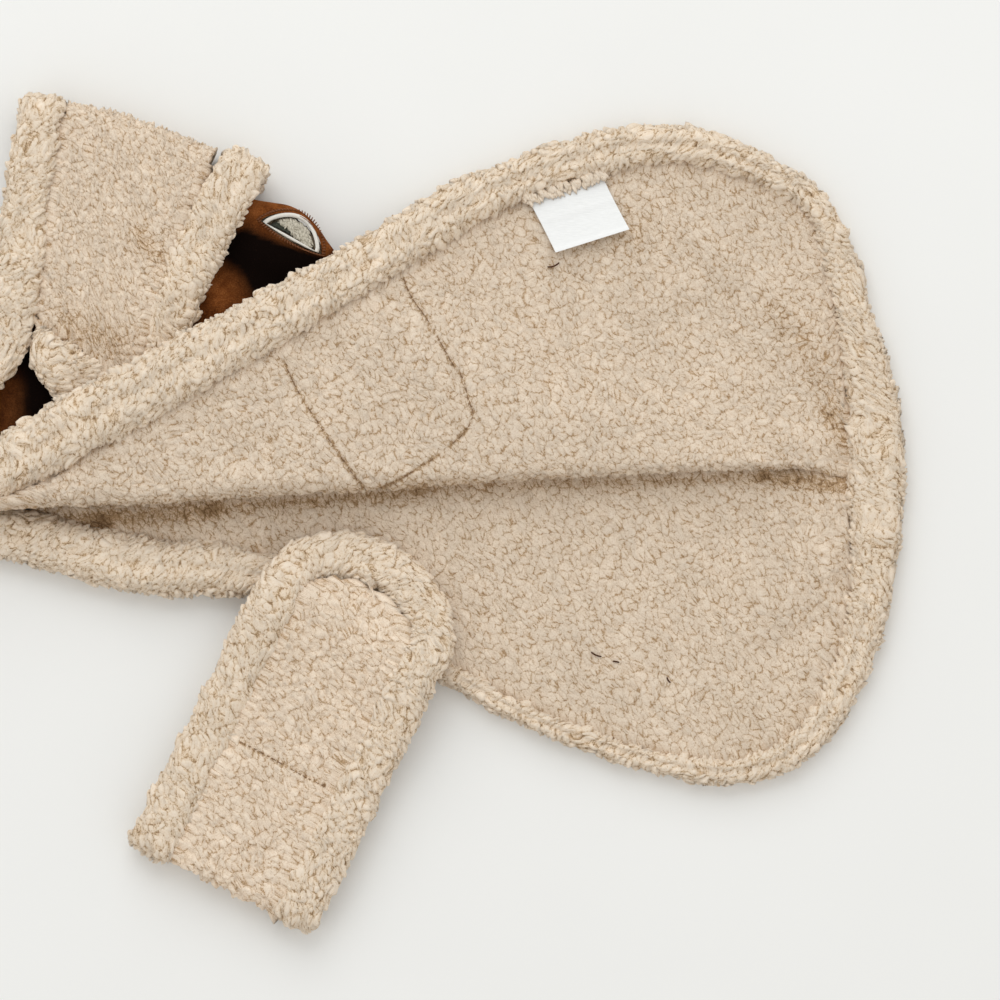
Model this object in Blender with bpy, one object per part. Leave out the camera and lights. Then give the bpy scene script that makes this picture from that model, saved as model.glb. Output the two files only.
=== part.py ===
"""A dog coat with a sherpa lining, laid on a table.

It lies on its right side. The right half is flat, lining up. The left half comes over it and is turned
back again, so that its lining shows too and its hem runs from the neck over the top to the rump. The
neck end stays closed, with the brown outer cloth and the turned-down collar on top.

Tables and functions are in millimetres and the meshes in metres. X runs from the neck to the rump, Y
from the belly strap to the turned-back hem, and Z up from the table.
"""

import math

import bmesh
import bpy
import numpy as np

METRES = 0.001
GAP = 0.3  # left between pieces that are sewn together or lie on each other
ORIGIN = (138.9, 195.2)  # the middle of the coat's bounding box on the table

SHELL = 1.3  # suede-look outer cloth
PILE = 5.0  # sherpa, from its backing to the tips of its pile
LINING_BASE = SHELL + GAP
LINING_TOP = LINING_BASE + PILE
LEAST_TOP = LINING_TOP + 0.4  # the lowest that anything folded over the right half may lie

SEAM = 0.7  # from the hem to the cloth sewn into it
HEM_STATIONS = 92
LINING_STATIONS = 34
LINING_COLUMNS = 11
ROLL_POINTS = 11
ARC_COLUMNS = 5
TURNS = (25, 50, 75, 100, 125, 150, 180)  # degrees round a fold to the table
ROUND_END = ((0.12, 0.86), (0.19, 0.56))  # of a roll: how far past its end, and how large
STEP_REACH = 24.0  # half the width over which the turned-back half climbs onto the folded layers

NECK_TOP = 13.3  # top of the closed neck end's outer cloth
COLLAR_TOP = 19.0
COLLAR_CLOTH = 5.0

STRAP_WIDTH = 83.0
STRAP_LENGTH = 154.0
STRAP_END = 32.0  # how deep its rounded end is
STRAP_BORDER = 19.5  # width of its binding
STRAP_APEX = (156.6, 181.8)
STRAP_LEAN = math.radians(26.6)  # of its length, from -Y towards -X
STRAP_CLOTH = 6.0
STRAP_ROLL = 8.0  # height of its binding
STRAP_UNDER = 7.6  # thickness of its lower layer
STRAP_FOLD = 7.4  # radius of the fold at its lower end

LABEL_SIZE = (31.0, 23.5)
LABEL_CORNER = (211.6, 320.0)
LABEL_LEAN = math.radians(17.5)  # of its sewn edge
LABEL_DROP = math.radians(27)  # of its sides, from straight down the coat
LABEL_CLOTH = 1.0

SLIT_ENDS = ((104.2, 311.8), (128.6, 298.2))
SLIT_BULGES = (9.2, 1.6)  # of its far lip and its near lip, from the line between its ends
SLIT_TAPE = 1.1


def table(columns, rows):
    """The rows as one array for each named column."""
    return dict(zip(columns.split(), np.array(rows, float).T))


# One row for each section of the hem's roll: its middle, width, height, and how high it lies. It starts
# at the neck end, and goes round the right half, the rump and the turned-back left half.
HEM = table(
    "x y width height rest",
    [
        (-20, 258, 14, 10.5, 0),
        (-36, 247.5, 17, 11.5, 0),
        (-54, 237, 19, 12, 0),
        (-68, 225, 20, 12, 0),
        (-74.5, 209, 20, 12, 0),
        (-68, 195, 21, 12, 0),
        (-46, 186, 22, 12.5, 0),
        (-22, 187.5, 22, 12.8, 0),
        (0, 187, 22, 14, 0),
        (38, 177.6, 22, 15, 0),
        (60, 173.6, 22, 15, 0),
        (84, 172.4, 21, 14, 0),
        (105, 169.6, 18, 13, 0),
        (132, 157, 15, 12, 0),
        (160, 141, 12, 11, 0),
        (182, 129, 9.5, 10, 0),
        (208, 115, 9, 9.5, 0),
        (230, 105.6, 9, 9.5, 0),
        (256, 97, 9.2, 9.5, 0),
        (282, 91.6, 10, 10, 0),
        (300, 91.8, 11, 10, 0),
        (315, 98, 12.5, 10.5, 0),
        (329, 110.6, 13, 11, 0),
        (340.5, 132, 14.5, 12, 0),
        (347, 154, 16.5, 12, 0),
        (350, 178, 19.5, 12.5, 0),
        (350.8, 206, 23, 12.5, 0),
        (350.4, 226, 22, 12.5, 0),
        (347.5, 248, 19, 12, 0),
        (342.8, 270.4, 15.5, 12, 0),
        (336.4, 296, 13, 11, 0),
        (326, 319, 11, 11, 0),
        (302, 334, 13, 11.5, 0),
        (282.8, 340.6, 15, 12, 0),
        (260, 342.4, 16, 12, 0),
        (236.4, 338, 17.5, 12.5, 0),
        (211, 329.6, 17.5, 12.5, 0),
        (182, 316.4, 19.5, 13, 0.3),
        (158, 301.6, 21, 13, 5.5),
        (140, 290.4, 20.5, 13, 13.2),
        (124.4, 281.4, 21.5, 13, 15.2),
        (106.6, 271, 22.5, 13.5, 16),
        (86.2, 259.6, 24, 13.5, 19.5),
        (68.4, 249.6, 25, 13.5, 21.2),
        (52.4, 240.6, 25, 13.5, 21.2),
        (30, 228.4, 24.5, 13.5, 20),
        (6, 214.8, 23.5, 13.5, 15),
        (-14, 203.6, 22, 13, 13.8),
        (-29, 195.5, 20, 11, 13.6),
    ],
)

# The crease where the left half is turned back, from the neck to the rump: its place, the height of
# the lining's top there, the radius of the fold, and how far in under it the hidden layers go.
CREASE = table(
    "x y top radius tuck",
    [
        (-4, 195.6, 28.5, 8.5, 3),
        (27, 197, 28.5, 8.6, 7),
        (62, 198, 28.2, 8.6, 20),
        (89, 200, 27.6, 8.5, 28),
        (124, 202, 26, 8.2, 42),
        (143, 203, 25, 8, 56),
        (160, 204, 24, 7.8, 66),
        (200, 207, 22, 7.2, 50),
        (240, 209, 20.4, 6.5, 33),
        (280, 211, 18.4, 5.3, 16),
        (300, 211.6, 16.3, 4.3, 5),
        (310, 211.8, 15.1, 3.7, -0.5),
        (325, 211.4, 11.4, 3.4, -1),
        (337.4, 207.8, 7.4, 2.6, -1),
    ],
)
SPINE = ((134.4, 298.0), (336.0, 209.0))  # the hidden fold along the back, under the left half

# Soft folds in the lining: the line each runs along, its half width, and its height or depth.
FOLDS = table(
    "x1 y1 x2 y2 reach height",
    [
        (268, 296, 326, 246, 13, -1.6),
        (286, 300, 334, 262, 11, 1.5),
        (322, 250, 330, 222, 8, 1.6),
        (300, 150, 332, 172, 10, 1.6),
        (312, 136, 336, 156, 8, -1.3),
        (306, 190, 330, 184, 9, -1.2),
        (232, 122, 300, 118, 14, 1.2),
        (150, 250, 212, 228, 16, 1.0),
        (196, 252, 250, 300, 18, -1.0),
    ],
)

# The brown outer cloth of the neck: its folded edge along the spine, the hidden edge under the hem,
# and the height of its top at the fold, in the hollow behind it and at the hem.
NECK = table(
    "x y in_x in_y fold hollow far",
    [
        (142, 289, 140, 270, 11.8, 11.4, 11.4),
        (135.6, 297.4, 128, 255, 12.6, 12.0, 12.2),
        (131.2, 303.2, 120, 249, 13.4, 11.8, 12.6),
        (127.2, 309, 114, 244, 14.0, 11.4, 13.0),
        (121.8, 314.6, 107, 239, 14.4, 11.3, 13.2),
        (116, 317.8, 100, 235, 14.6, 11.2, 13.2),
        (108.8, 319.2, 92, 231, 14.2, 11.2, 13.2),
        (101.2, 320.6, 84, 228, 13.4, 11.6, 13.2),
        (94, 324, 76, 225, 13.3, 12.4, 13.2),
        (80, 328.6, 66, 222, 13.2, 13.0, 13.2),
    ],
)
HOLLOW_PLACE = 0.34  # across the neck cloth, from its fold

# The brown cloth of the chest end, which shows in the notch under the collar: its upper and lower edges.
CHEST = table(
    "x y in_x in_y",
    [
        (46, 246, 45, 216),
        (24, 267, 28, 211),
        (4, 274, 12, 206.5),
        (-7, 260.5, -4, 204),
        (-20, 246, -20, 202),
        (-36, 233.5, -34, 200.5),
        (-49, 222.5, -44, 199.5),
        (-56, 211.5, -52.5, 202),
    ],
)

# The outline of the layers inside the closed neck end.
NECK_OUTLINE = table(
    "x y",
    [
        (142, 285),
        (135.6, 297.4),
        (127.2, 309),
        (116, 317.8),
        (101.2, 320.6),
        (80, 328.6),
        (50, 339),
        (25, 346),
        (13, 338),
        (9.5, 318),
        (6, 300),
        (-1, 280),
        (-7, 261),
        (-17, 248),
        (-31, 237),
        (-44, 227),
        (-54, 217),
        (-56, 207),
        (-42, 199.5),
        (-20, 201.5),
        (8, 204.5),
        (38, 213),
        (66, 221),
        (92, 231),
        (114, 244),
        (134, 262),
    ],
)
# The neck end of the cloth on the table, from the spine round under the collar to the chest.
BACK_NECK = table(
    "x y",
    [
        (146, 284),
        (131, 297),
        (121, 307.5),
        (107, 313.5),
        (94, 317),
        (70, 325),
        (46, 333),
        (27, 338),
        (18, 330),
        (14.5, 312),
        (10, 295),
        (2, 277),
        (-8, 260),
    ],
)
LAYERS_RINGS = table("inset z", [(6.5, 1.6), (4.4, 3.0), (2.9, 6.6), (3.6, 8.8), (5.8, 9.5)])

# The collar between its bindings: the fold along its top, its lower edge, and how far its sections
# swing sideways halfway down.
COLLAR = table(
    "x y in_x in_y bow",
    [
        (27.4, 360.6, 16.4, 269.4, 0),
        (44, 356.6, 28.4, 265.1, -1),
        (60, 351.4, 37.4, 257.9, -2),
        (74, 346.2, 45.4, 250.2, -3),
        (87, 340.8, 53.1, 247.7, -4),
    ],
)

# The rolls along the collar's edges: each ends over the fold at the top.
COLLAR_BAND = table(
    "x y width height rest",
    [
        (-30, 233, 17, 9, 13.6),
        (-16, 246, 22, 9.5, 13.6),
        (-2.8, 258.2, 22.4, 9.5, 13.6),
        (4.6, 273.5, 20, 9.5, 13.6),
        (8.8, 292, 19.5, 9.5, 13.6),
        (10.2, 313, 19, 9.5, 13.6),
        (12.8, 331, 18.5, 9.5, 13.6),
        (15.4, 345, 18, 9.5, 13.6),
        (16.6, 352, 18, 9.5, 13.6),
    ],
)
COLLAR_BINDING = table(
    "x y width height rest",
    [
        (17.7, 266.6, 6.5, 8.2, 13.6),
        (18.4, 262.4, 14, 8.5, 13.6),
        (25.2, 253.4, 20.6, 8.5, 13.6),
        (34, 246.2, 20.4, 6.4, 13.6),
        (42, 239, 18.5, 5.8, 13.6),
        (52, 234.6, 18, 5.8, 13.6),
        (60.5, 240, 18, 5.8, 13.6),
        (64.6, 252, 18, 6, 13.6),
        (68.4, 270, 18.5, 6.8, 13.6),
        (72.6, 284, 19, 9.5, 13.8),
        (79.2, 299, 19.5, 9.5, 14.2),
        (88.8, 317, 20, 9.5, 14.4),
        (95, 328.6, 20, 9.5, 14.4),
    ],
)

# The belly strap's upper layer, from its rounded end on the lining over the hem to its fold: the
# distance from the end, and the height of the layer's underside.
STRAP = table(
    "along under",
    [
        (0, 7.2),
        (14, 8.2),
        (24, 12.6),
        (34, 15.6),
        (46, 15.2),
        (60, 12),
        (82, 9.4),
        (130, 9),
        (154, 9),
    ],
)
STRAP_STATIONS = 20

COLOURS = {
    "sherpa": ((0.62, 0.51, 0.38), 0.95),
    "sherpa_binding": ((0.70, 0.60, 0.47), 0.95),
    "brown_suede": ((0.16, 0.065, 0.028), 0.85),
    "satin": ((0.86, 0.86, 0.84), 0.45),
    "tape": ((0.52, 0.49, 0.42), 0.8),
}


def clear_scene():
    for item in list(bpy.data.objects):
        bpy.data.objects.remove(item, do_unlink=True)


def new_collection(name):
    collection = bpy.data.collections.new(name)
    bpy.context.scene.collection.children.link(collection)
    return collection


def material(name):
    """A Principled material of one of the COLOURS."""
    found = bpy.data.materials.get(name)
    if found:
        return found
    colour, roughness = COLOURS[name]
    made = bpy.data.materials.new(name)
    made.use_nodes = True
    shader = made.node_tree.nodes["Principled BSDF"]
    shader.inputs["Base Color"].default_value = (*colour, 1.0)
    shader.inputs["Roughness"].default_value = roughness
    shader.inputs["Metallic"].default_value = 0.0
    made.diffuse_color = (*colour, 1.0)
    return made


def add_mesh(name, points, faces, finish, collection):
    """An object from points in millimetres, with its faces turned outwards."""
    places = (np.asarray(points, float) - (*ORIGIN, 0.0)) * METRES
    mesh = bpy.data.meshes.new(name)
    mesh.from_pydata(places.tolist(), [], [list(map(int, face)) for face in faces])
    shape = bmesh.new()
    shape.from_mesh(mesh)
    bmesh.ops.recalc_face_normals(shape, faces=shape.faces)
    shape.to_mesh(mesh)
    shape.free()
    mesh.shade_smooth()
    mesh.set_sharp_from_angle(angle=math.radians(50))
    mesh.materials.append(material(finish))
    made = bpy.data.objects.new(name, mesh)
    collection.objects.link(made)
    return made


def unit(vectors):
    return vectors / np.maximum(np.linalg.norm(vectors, axis=-1, keepdims=True), 1e-9)


def smoothstep(value):
    value = np.clip(value, 0.0, 1.0)
    return value * value * (3 - 2 * value)


def run_length(points):
    """How far along the points each lies, in plan."""
    steps = np.linalg.norm(np.diff(points[:, :2], axis=0), axis=1)
    return np.concatenate([[0.0], np.cumsum(steps)])


def smoothed(columns, count, closed=False):
    """The columns read off a smooth curve through the table's rows, at evenly spaced places in plan.
    Each stretch is a cubic whose slopes at its ends are those of the rows on either side."""
    rows = np.array(list(columns.values())).T
    if closed:
        rows = np.concatenate([rows[-3:], rows, rows[:4]])
    chord = run_length(rows)
    slope = np.gradient(rows, chord, axis=0)
    first, last = (chord[3], chord[-4]) if closed else (chord[0], chord[-1])
    fine = np.linspace(first, last, 40 * count)
    k = np.clip(np.searchsorted(chord, fine, "right") - 1, 0, len(chord) - 2)
    span = (chord[k + 1] - chord[k])[:, None]
    t = (fine - chord[k])[:, None] / span
    values = (
        rows[k] * (1 + 2 * t) * (1 - t) ** 2
        + rows[k + 1] * t**2 * (3 - 2 * t)
        + slope[k] * span * t * (1 - t) ** 2
        + slope[k + 1] * span * t**2 * (t - 1)
    )
    length = run_length(values)
    wanted = np.linspace(0, length[-1], count + 1 if closed else count)
    even = [np.interp(wanted, length, column) for column in values.T]
    return {name: value[:count] for name, value in zip(columns, even)}


def plan(columns, x="x", y="y"):
    return np.stack([columns[x], columns[y]], axis=-1)


def left_of(path, closed=False):
    """The unit vector to the left of a path's direction at each of its points, in plan."""
    if closed:
        tangent = unit(np.roll(path, -1, axis=0) - np.roll(path, 1, axis=0))
    else:
        tangent = unit(np.gradient(path, axis=0))
    return np.stack([-tangent[:, 1], tangent[:, 0]], axis=-1)


def at_height(points, z):
    """Plan points with their heights."""
    heights = np.broadcast_to(np.asarray(z, float)[..., None], (*points.shape[:-1], 1))
    return np.concatenate([points, heights], axis=-1)


def wall(name, outer, inner, finish, collection):
    """A closed solid between two grids of points, m rows by n columns each, joined round their rims."""
    m, n = outer.shape[:2]
    index = np.arange(m * n).reshape(m, n)
    a, b, c, d = index[:-1, :-1], index[1:, :-1], index[1:, 1:], index[:-1, 1:]
    halves = [np.stack(corners, -1).reshape(-1, 3) for corners in ((a, b, c), (a, c, d))]
    front = np.concatenate(halves)
    back = front[:, ::-1] + m * n
    rim = np.concatenate([index[0], index[1:, -1], index[-1, -2::-1], index[-2:0:-1, 0]])
    after = np.roll(rim, -1)
    side = np.concatenate(
        [np.stack([rim, after, after + m * n], -1), np.stack([rim, after + m * n, rim + m * n], -1)]
    )
    points = np.concatenate([outer.reshape(-1, 3), inner.reshape(-1, 3)])
    return add_mesh(name, points, np.concatenate([front, back, side]), finish, collection)


def loft(name, rings, finish, collection):
    """A closed solid through rings of points, m rings of n points, with a fan over each end."""
    m, n = rings.shape[:2]
    index = np.arange(m * n).reshape(m, n)
    after = np.roll(index, -1, axis=1)
    sides = np.stack([index[:-1], after[:-1], after[1:], index[1:]], -1).reshape(-1, 4)
    triangles = np.concatenate([sides[:, [0, 1, 2]], sides[:, [0, 2, 3]]])
    first, last = np.full(n, m * n), np.full(n, m * n + 1)
    caps = np.concatenate(
        [np.stack([after[0], index[0], first], -1), np.stack([index[-1], after[-1], last], -1)]
    )
    middles = [rings[0].mean(axis=0), rings[-1].mean(axis=0)]
    points = np.concatenate([rings.reshape(-1, 3), middles])
    return add_mesh(name, points, np.concatenate([triangles, caps]), finish, collection)


def roll_section(groove):
    """Across and up, for a bound edge of width 1 and height 1: a circle cut flat below, with a groove
    along its crown between two ridges."""
    cut = math.radians(32)
    angle = np.linspace(-cut, math.pi + cut, ROLL_POINTS)
    across = 0.5 * np.cos(angle)
    up = ((np.sin(angle) + math.sin(cut)) / (1 + math.sin(cut))) ** 0.85
    return across, up * (1 - groove * np.exp(-((across / 0.13) ** 2)))


def roll_rings(path, groove=0.16, turned=()):
    """Rings of a bound edge along a path with columns x, y, width, height and rest. Each end named in
    turned, 0 or -1, goes on round a fold and down to the table. The others are rounded off."""
    centre = plan(path)
    side = left_of(centre)
    across, up = roll_section(groove)
    flat = centre[:, None] + side[:, None] * (across * path["width"][:, None])[..., None]
    rings = at_height(flat, path["rest"][:, None] + up * path["height"][:, None])
    rounds = {0: [], -1: []}
    for end, beside in ((0, 1), (-1, -2)):
        ahead = unit(centre[end] - centre[beside])
        if end not in turned:
            middle = rings[end].mean(axis=0)
            for reach, size in ROUND_END:
                onward = at_height(ahead * reach * path["width"][end], 0.0)
                rounds[end].append(middle + (rings[end] - middle) * size + onward)
            continue
        radius = (path["rest"][end] + path["height"][end]) / 2
        arm = radius - (1 - up) * path["height"][end]
        for angle in np.radians(TURNS):
            places = flat[end] + ahead * (np.sin(angle) * arm)[:, None]
            rounds[end].append(at_height(places, radius + np.cos(angle) * arm))
    return np.stack([*rounds[0][::-1], *rings, *rounds[-1]])


def fold_depth(x, y):
    """How far the soft FOLDS raise or lower the lining there: each is a smooth ridge along its line."""
    total = np.zeros(np.broadcast(x, y).shape)
    for x1, y1, x2, y2, reach, height in np.array(list(FOLDS.values())).T:
        dx, dy = x2 - x1, y2 - y1
        along = np.clip(((x - x1) * dx + (y - y1) * dy) / (dx * dx + dy * dy), 0, 1)
        away = np.hypot(x - x1 - along * dx, y - y1 - along * dy)
        total += height * np.exp(-((away / reach) ** 2))
    return total


def spine_side(points):
    """How far points lie from the hidden spine fold: positive on the crease's side of it."""
    (x1, y1), (x2, y2) = SPINE
    across = unit(np.array([y2 - y1, x1 - x2]))
    return (points - (x1, y1)) @ across * (1 if across[1] < 0 else -1)


def climb(points):
    """From 0 beyond the spine fold to 1 on the folded layers."""
    return smoothstep((spine_side(points) + STEP_REACH) / (2 * STEP_REACH))


class Hem:
    """The hem's path, and the line of cloth ends just inside it or outside it."""

    def __init__(self):
        self.path = smoothed(HEM, HEM_STATIONS)
        self.path["rest"] = np.maximum(self.path["rest"], 0.0)
        centre = plan(self.path)
        side = left_of(centre)
        half = (self.path["width"] / 2 + SEAM)[:, None]
        self.inner = centre + side * half
        self.outer = centre - side * half
        crease_end = np.array([CREASE["x"][-1], CREASE["y"][-1]])
        self.rump = int(np.argmin(np.linalg.norm(self.inner - crease_end, axis=1)))

    def stretch(self, start, stop, count):
        """Evenly spaced points of the inner line between two stations, with the hem's rest there."""
        part = {
            "x": self.inner[start:stop, 0],
            "y": self.inner[start:stop, 1],
            "rest": self.path["rest"][start:stop],
        }
        return smoothed(part, count)

    def first_inside(self, x_limit, low):
        """The first station of the right half, or the last of the left half, beyond x_limit."""
        inside = np.nonzero(self.inner[:, 0] > x_limit)[0]
        low_part = inside[inside < self.rump]
        high_part = inside[inside > self.rump]
        return int(low_part[0]) if low else int(high_part[-1])


def back_shell(hem, collection):
    """The outer cloth that lies on the table: a flat outline of even thickness, just inside the hem."""
    lifted = int(np.nonzero(hem.path["rest"] > 3.0)[0][0])
    points = np.concatenate([hem.inner[:lifted:2], plan(smoothed(BACK_NECK, 40))])
    curve = bpy.data.curves.new("back_shell", "CURVE")
    curve.dimensions = "2D"
    curve.fill_mode = "BOTH"
    curve.extrude = SHELL / 2 * METRES
    line = curve.splines.new("POLY")
    line.points.add(len(points) - 1)
    for place, (x, y) in zip(line.points, points):
        place.co = ((x - ORIGIN[0]) * METRES, (y - ORIGIN[1]) * METRES, 0.0, 1.0)
    line.use_cyclic_u = True
    curve.materials.append(material("brown_suede"))
    made = bpy.data.objects.new("back_shell", curve)
    made.location.z = SHELL / 2 * METRES
    collection.objects.link(made)


def right_lining(hem, collection):
    """The flat half's lining, from the hem to the hidden edge beyond the crease."""
    seam = hem.stretch(hem.first_inside(-2.0, low=True), hem.rump, LINING_STATIONS)
    crease = smoothed(CREASE, LINING_STATIONS)
    low, high = plan(seam), plan(crease)
    high = high + np.stack([0 * crease["tuck"], crease["tuck"]], axis=-1)
    share = np.linspace(0, 1, 9)[None, :, None]
    grid = low[:, None] * (1 - share) + high[:, None] * share
    top = LINING_TOP + fold_depth(grid[..., 0], grid[..., 1]) * smoothstep(share[..., 0] * 4)
    hidden = smoothstep((share[..., 0] - 0.5) * 3) * (crease["tuck"] > 0)[:, None]
    top = top * (1 - hidden) + LINING_TOP * hidden
    wall("right_lining", at_height(grid, top), at_height(grid, LINING_BASE), "sherpa", collection)


class TurnedBack:
    """Sections of the left half's lining, from the hem across to the crease and round its fold."""

    def __init__(self, hem):
        last = hem.first_inside(6.0, low=False)
        stations = LINING_STATIONS
        seam = hem.stretch(hem.rump + 2, last + 1, stations)
        self.seam = plan(seam)[::-1]
        self.rest = seam["rest"][::-1]
        crease = {name: value[1:] for name, value in smoothed(CREASE, stations + 1).items()}
        self.crease_rows = crease
        self.edge = plan(crease)
        self.reach = np.linalg.norm(self.edge - self.seam, axis=1)
        self.toward = unit(self.edge - self.seam)
        self.radius = np.minimum(crease["radius"], 0.6 * self.reach)
        self.cloth = np.minimum(PILE, 0.62 * self.radius)
        self.top_at_crease = crease["top"]

    def point(self, distance):
        """Plan places at distances from the hem, one row of distances for each section."""
        return self.seam[:, None] + self.toward[:, None] * distance[..., None]

    def heights(self, distance):
        """The lining's top and underside there: level with the hem's seam, and rising over the spine
        fold to the crease. Its soft folds are in its top."""
        places = self.point(distance)
        flat_end = (self.reach - self.radius)[:, None]
        level = 0.85 * climb(places) + 0.15 * distance / flat_end
        at_seam = 0.85 * climb(self.seam)[:, None]
        at_crease = 0.85 * climb(self.point(flat_end)[:, 0])[:, None] + 0.15
        share_up = (level - at_seam) / np.maximum(at_crease - at_seam, 0.05)
        low = (self.rest + LINING_TOP)[:, None]
        rise = low + (self.top_at_crease[:, None] - low) * share_up
        soft = fold_depth(places[..., 0], places[..., 1])
        near_edges = smoothstep(distance / 10) * smoothstep((self.reach[:, None] - distance) / 16)
        behind = np.clip(flat_end - distance, 0, 15) / 15
        thickness = self.cloth[:, None] + (PILE - self.cloth[:, None]) * behind
        return rise + soft * near_edges, rise - thickness

    def flat_distances(self, count):
        return np.linspace(0, 1, count)[None] * (self.reach - self.radius)[:, None]


def left_lining(turned, collection):
    """The turned-back half's lining: a wall that goes round the crease and a little way under."""
    flat = turned.flat_distances(LINING_COLUMNS)
    top, under = turned.heights(flat)
    outer_flat = at_height(turned.point(flat), top)
    inner_flat = at_height(turned.point(flat), under)
    angle = np.radians(np.linspace(90, -90, ARC_COLUMNS + 1)[1:])
    centre = (turned.reach - turned.radius)[:, None]
    middle = (top[:, -1] - turned.radius)[:, None]
    arcs = []
    for radius in (turned.radius, turned.radius - turned.cloth):
        distance = centre + radius[:, None] * np.cos(angle)
        arcs.append(at_height(turned.point(distance), middle + radius[:, None] * np.sin(angle)))
    outer = np.concatenate([outer_flat, arcs[0]], axis=1)
    inner = np.concatenate([inner_flat, arcs[1]], axis=1)
    wall("left_lining", outer, inner, "sherpa", collection)


def folded_layers(turned, collection):
    """Both halves where they lie hidden between the linings: one solid, from the hidden edge of the
    right half to just behind the crease."""
    crease = turned.crease_rows
    front = turned.reach - turned.radius - 0.6
    fine = np.linspace(0, 1, 90)[None] * front[:, None]
    places = turned.point(fine)
    beyond = places[..., 1] - np.interp(places[..., 0], crease["x"], crease["y"] + crease["tuck"])
    roomy = (beyond < 0) & (turned.heights(fine)[1] > LEAST_TOP + 1.8)
    start = np.take_along_axis(fine, np.argmax(roomy, axis=1)[:, None], axis=1)[:, 0]
    used = np.nonzero(roomy.any(axis=1) & (front - start > 6.0) & (crease["x"] > 12))[0]
    share = np.linspace(0, 1, 8)[None]
    distance = start[:, None] * (1 - share) + front[:, None] * share
    under = np.maximum((turned.top_at_crease - 2 * turned.radius)[:, None], LEAST_TOP)
    lift = smoothstep((distance - front[:, None] + 22) / 22)
    low = LEAST_TOP + (under - LEAST_TOP) * lift
    high = turned.heights(distance)[1] - 0.7
    grid = turned.point(distance)
    upper, lower = at_height(grid, np.maximum(high, low + 0.4))[used], at_height(grid, low)[used]
    wall("folded_layers", upper, lower, "sherpa", collection)


def hem_binding(hem, collection):
    loft("hem_binding", roll_rings(hem.path), "sherpa_binding", collection)


def wrapped_wall(columns, stations, radius, cloth, tops, finish, name, collection, start=-90, flat=9):
    """A wall whose sections run from a folded edge to a far edge: an arc round the fold, from the angle
    start up to the top, and then across at the given tops, swinging sideways by the column bow."""
    rows = smoothed(columns, stations)
    edge, far = plan(rows), plan(rows, "in_x", "in_y")
    toward = unit(far - edge)
    aside = np.stack([-toward[:, 1], toward[:, 0]], axis=-1)
    reach = np.linalg.norm(far - edge, axis=1)[:, None]
    bow = rows.get("bow", np.zeros(stations))[:, None]
    share = np.linspace(0, 1, flat)[None]
    high = tops(rows, share)
    bend = radius(high[:, :1])
    angle = np.radians(np.linspace(start, 90, ARC_COLUMNS + 2)[:-1])
    across = bend + share * (reach - bend)
    grids = []
    for depth in (0.0, cloth):
        arc = bend - depth
        distance = np.concatenate([bend - arc * np.cos(angle), across], axis=1)
        height = np.concatenate([high[:, :1] - bend + arc * np.sin(angle), high - depth], axis=1)
        swing = bow * np.sin(math.pi * np.clip(distance / reach, 0, 1))
        places = edge[:, None] + toward[:, None] * distance[..., None] + aside[:, None] * swing[..., None]
        grids.append(at_height(places, height))
    return wall(name, grids[0], grids[1], finish, collection)


def slit_outline(inset, count=9):
    """The leash slit's outline: two arcs between its ends, drawn in by inset."""
    first, last = np.array(SLIT_ENDS)
    along = unit(last - first)
    out = np.array([-along[1], along[0]])
    first, last = first + along * inset * 1.6, last - along * inset * 1.6
    share = np.linspace(0, 1, count)
    far = first + (last - first) * share[:, None]
    arch = np.sin(math.pi * share)[:, None] ** 0.7
    upper = far + out * arch * (SLIT_BULGES[0] - inset)
    lower = far - out * arch * (SLIT_BULGES[1] - inset)
    return np.concatenate([upper, lower[-2:0:-1]])


def slit_cutter(collection):
    outline = slit_outline(0.0)
    rings = np.stack([at_height(outline, 8.4), at_height(outline, 24.0)])
    cutter = loft("slit_cutter", rings, "tape", collection)
    cutter.hide_render = True
    cutter.display_type = "WIRE"
    return cutter


def neck_tops(rows, share):
    """The neck cloth's height: high at the fold, sinking into a hollow, and level again at the hem."""
    falling = smoothstep(share / HOLLOW_PLACE)
    rising = smoothstep((share - HOLLOW_PLACE) / (1 - HOLLOW_PLACE))
    fold, hollow, far = (rows[name][:, None] for name in ("fold", "hollow", "far"))
    return fold + (hollow - fold) * falling + (far - hollow) * rising


def neck_shell(cutter, collection):
    """The brown cloth round the spine fold, with the leash slit cut through it."""
    made = wrapped_wall(
        NECK, 19, lambda high: (high - 2.2) / 2, SHELL, neck_tops, "brown_suede", "neck_shell",
        collection, start=-50, flat=7,
    )
    cut = made.modifiers.new("leash slit", "BOOLEAN")
    cut.operation = "DIFFERENCE"
    cut.solver = "EXACT"
    cut.object = cutter


def slit_heights(outline):
    """The neck cloth's top round the slit, which falls away over the fold."""
    rows = smoothed(NECK, 80)
    edge = plan(rows)
    nearest = np.argmin(np.linalg.norm(outline[:, None] - edge[None], axis=-1), axis=1)
    away = np.linalg.norm(outline - edge[nearest], axis=1)
    bend = (rows["fold"][nearest] - 2.2) / 2
    inside = np.clip(1 - away / bend, 0, 1)
    return rows["fold"][nearest] - bend + bend * np.sqrt(1 - inside**2)


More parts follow.
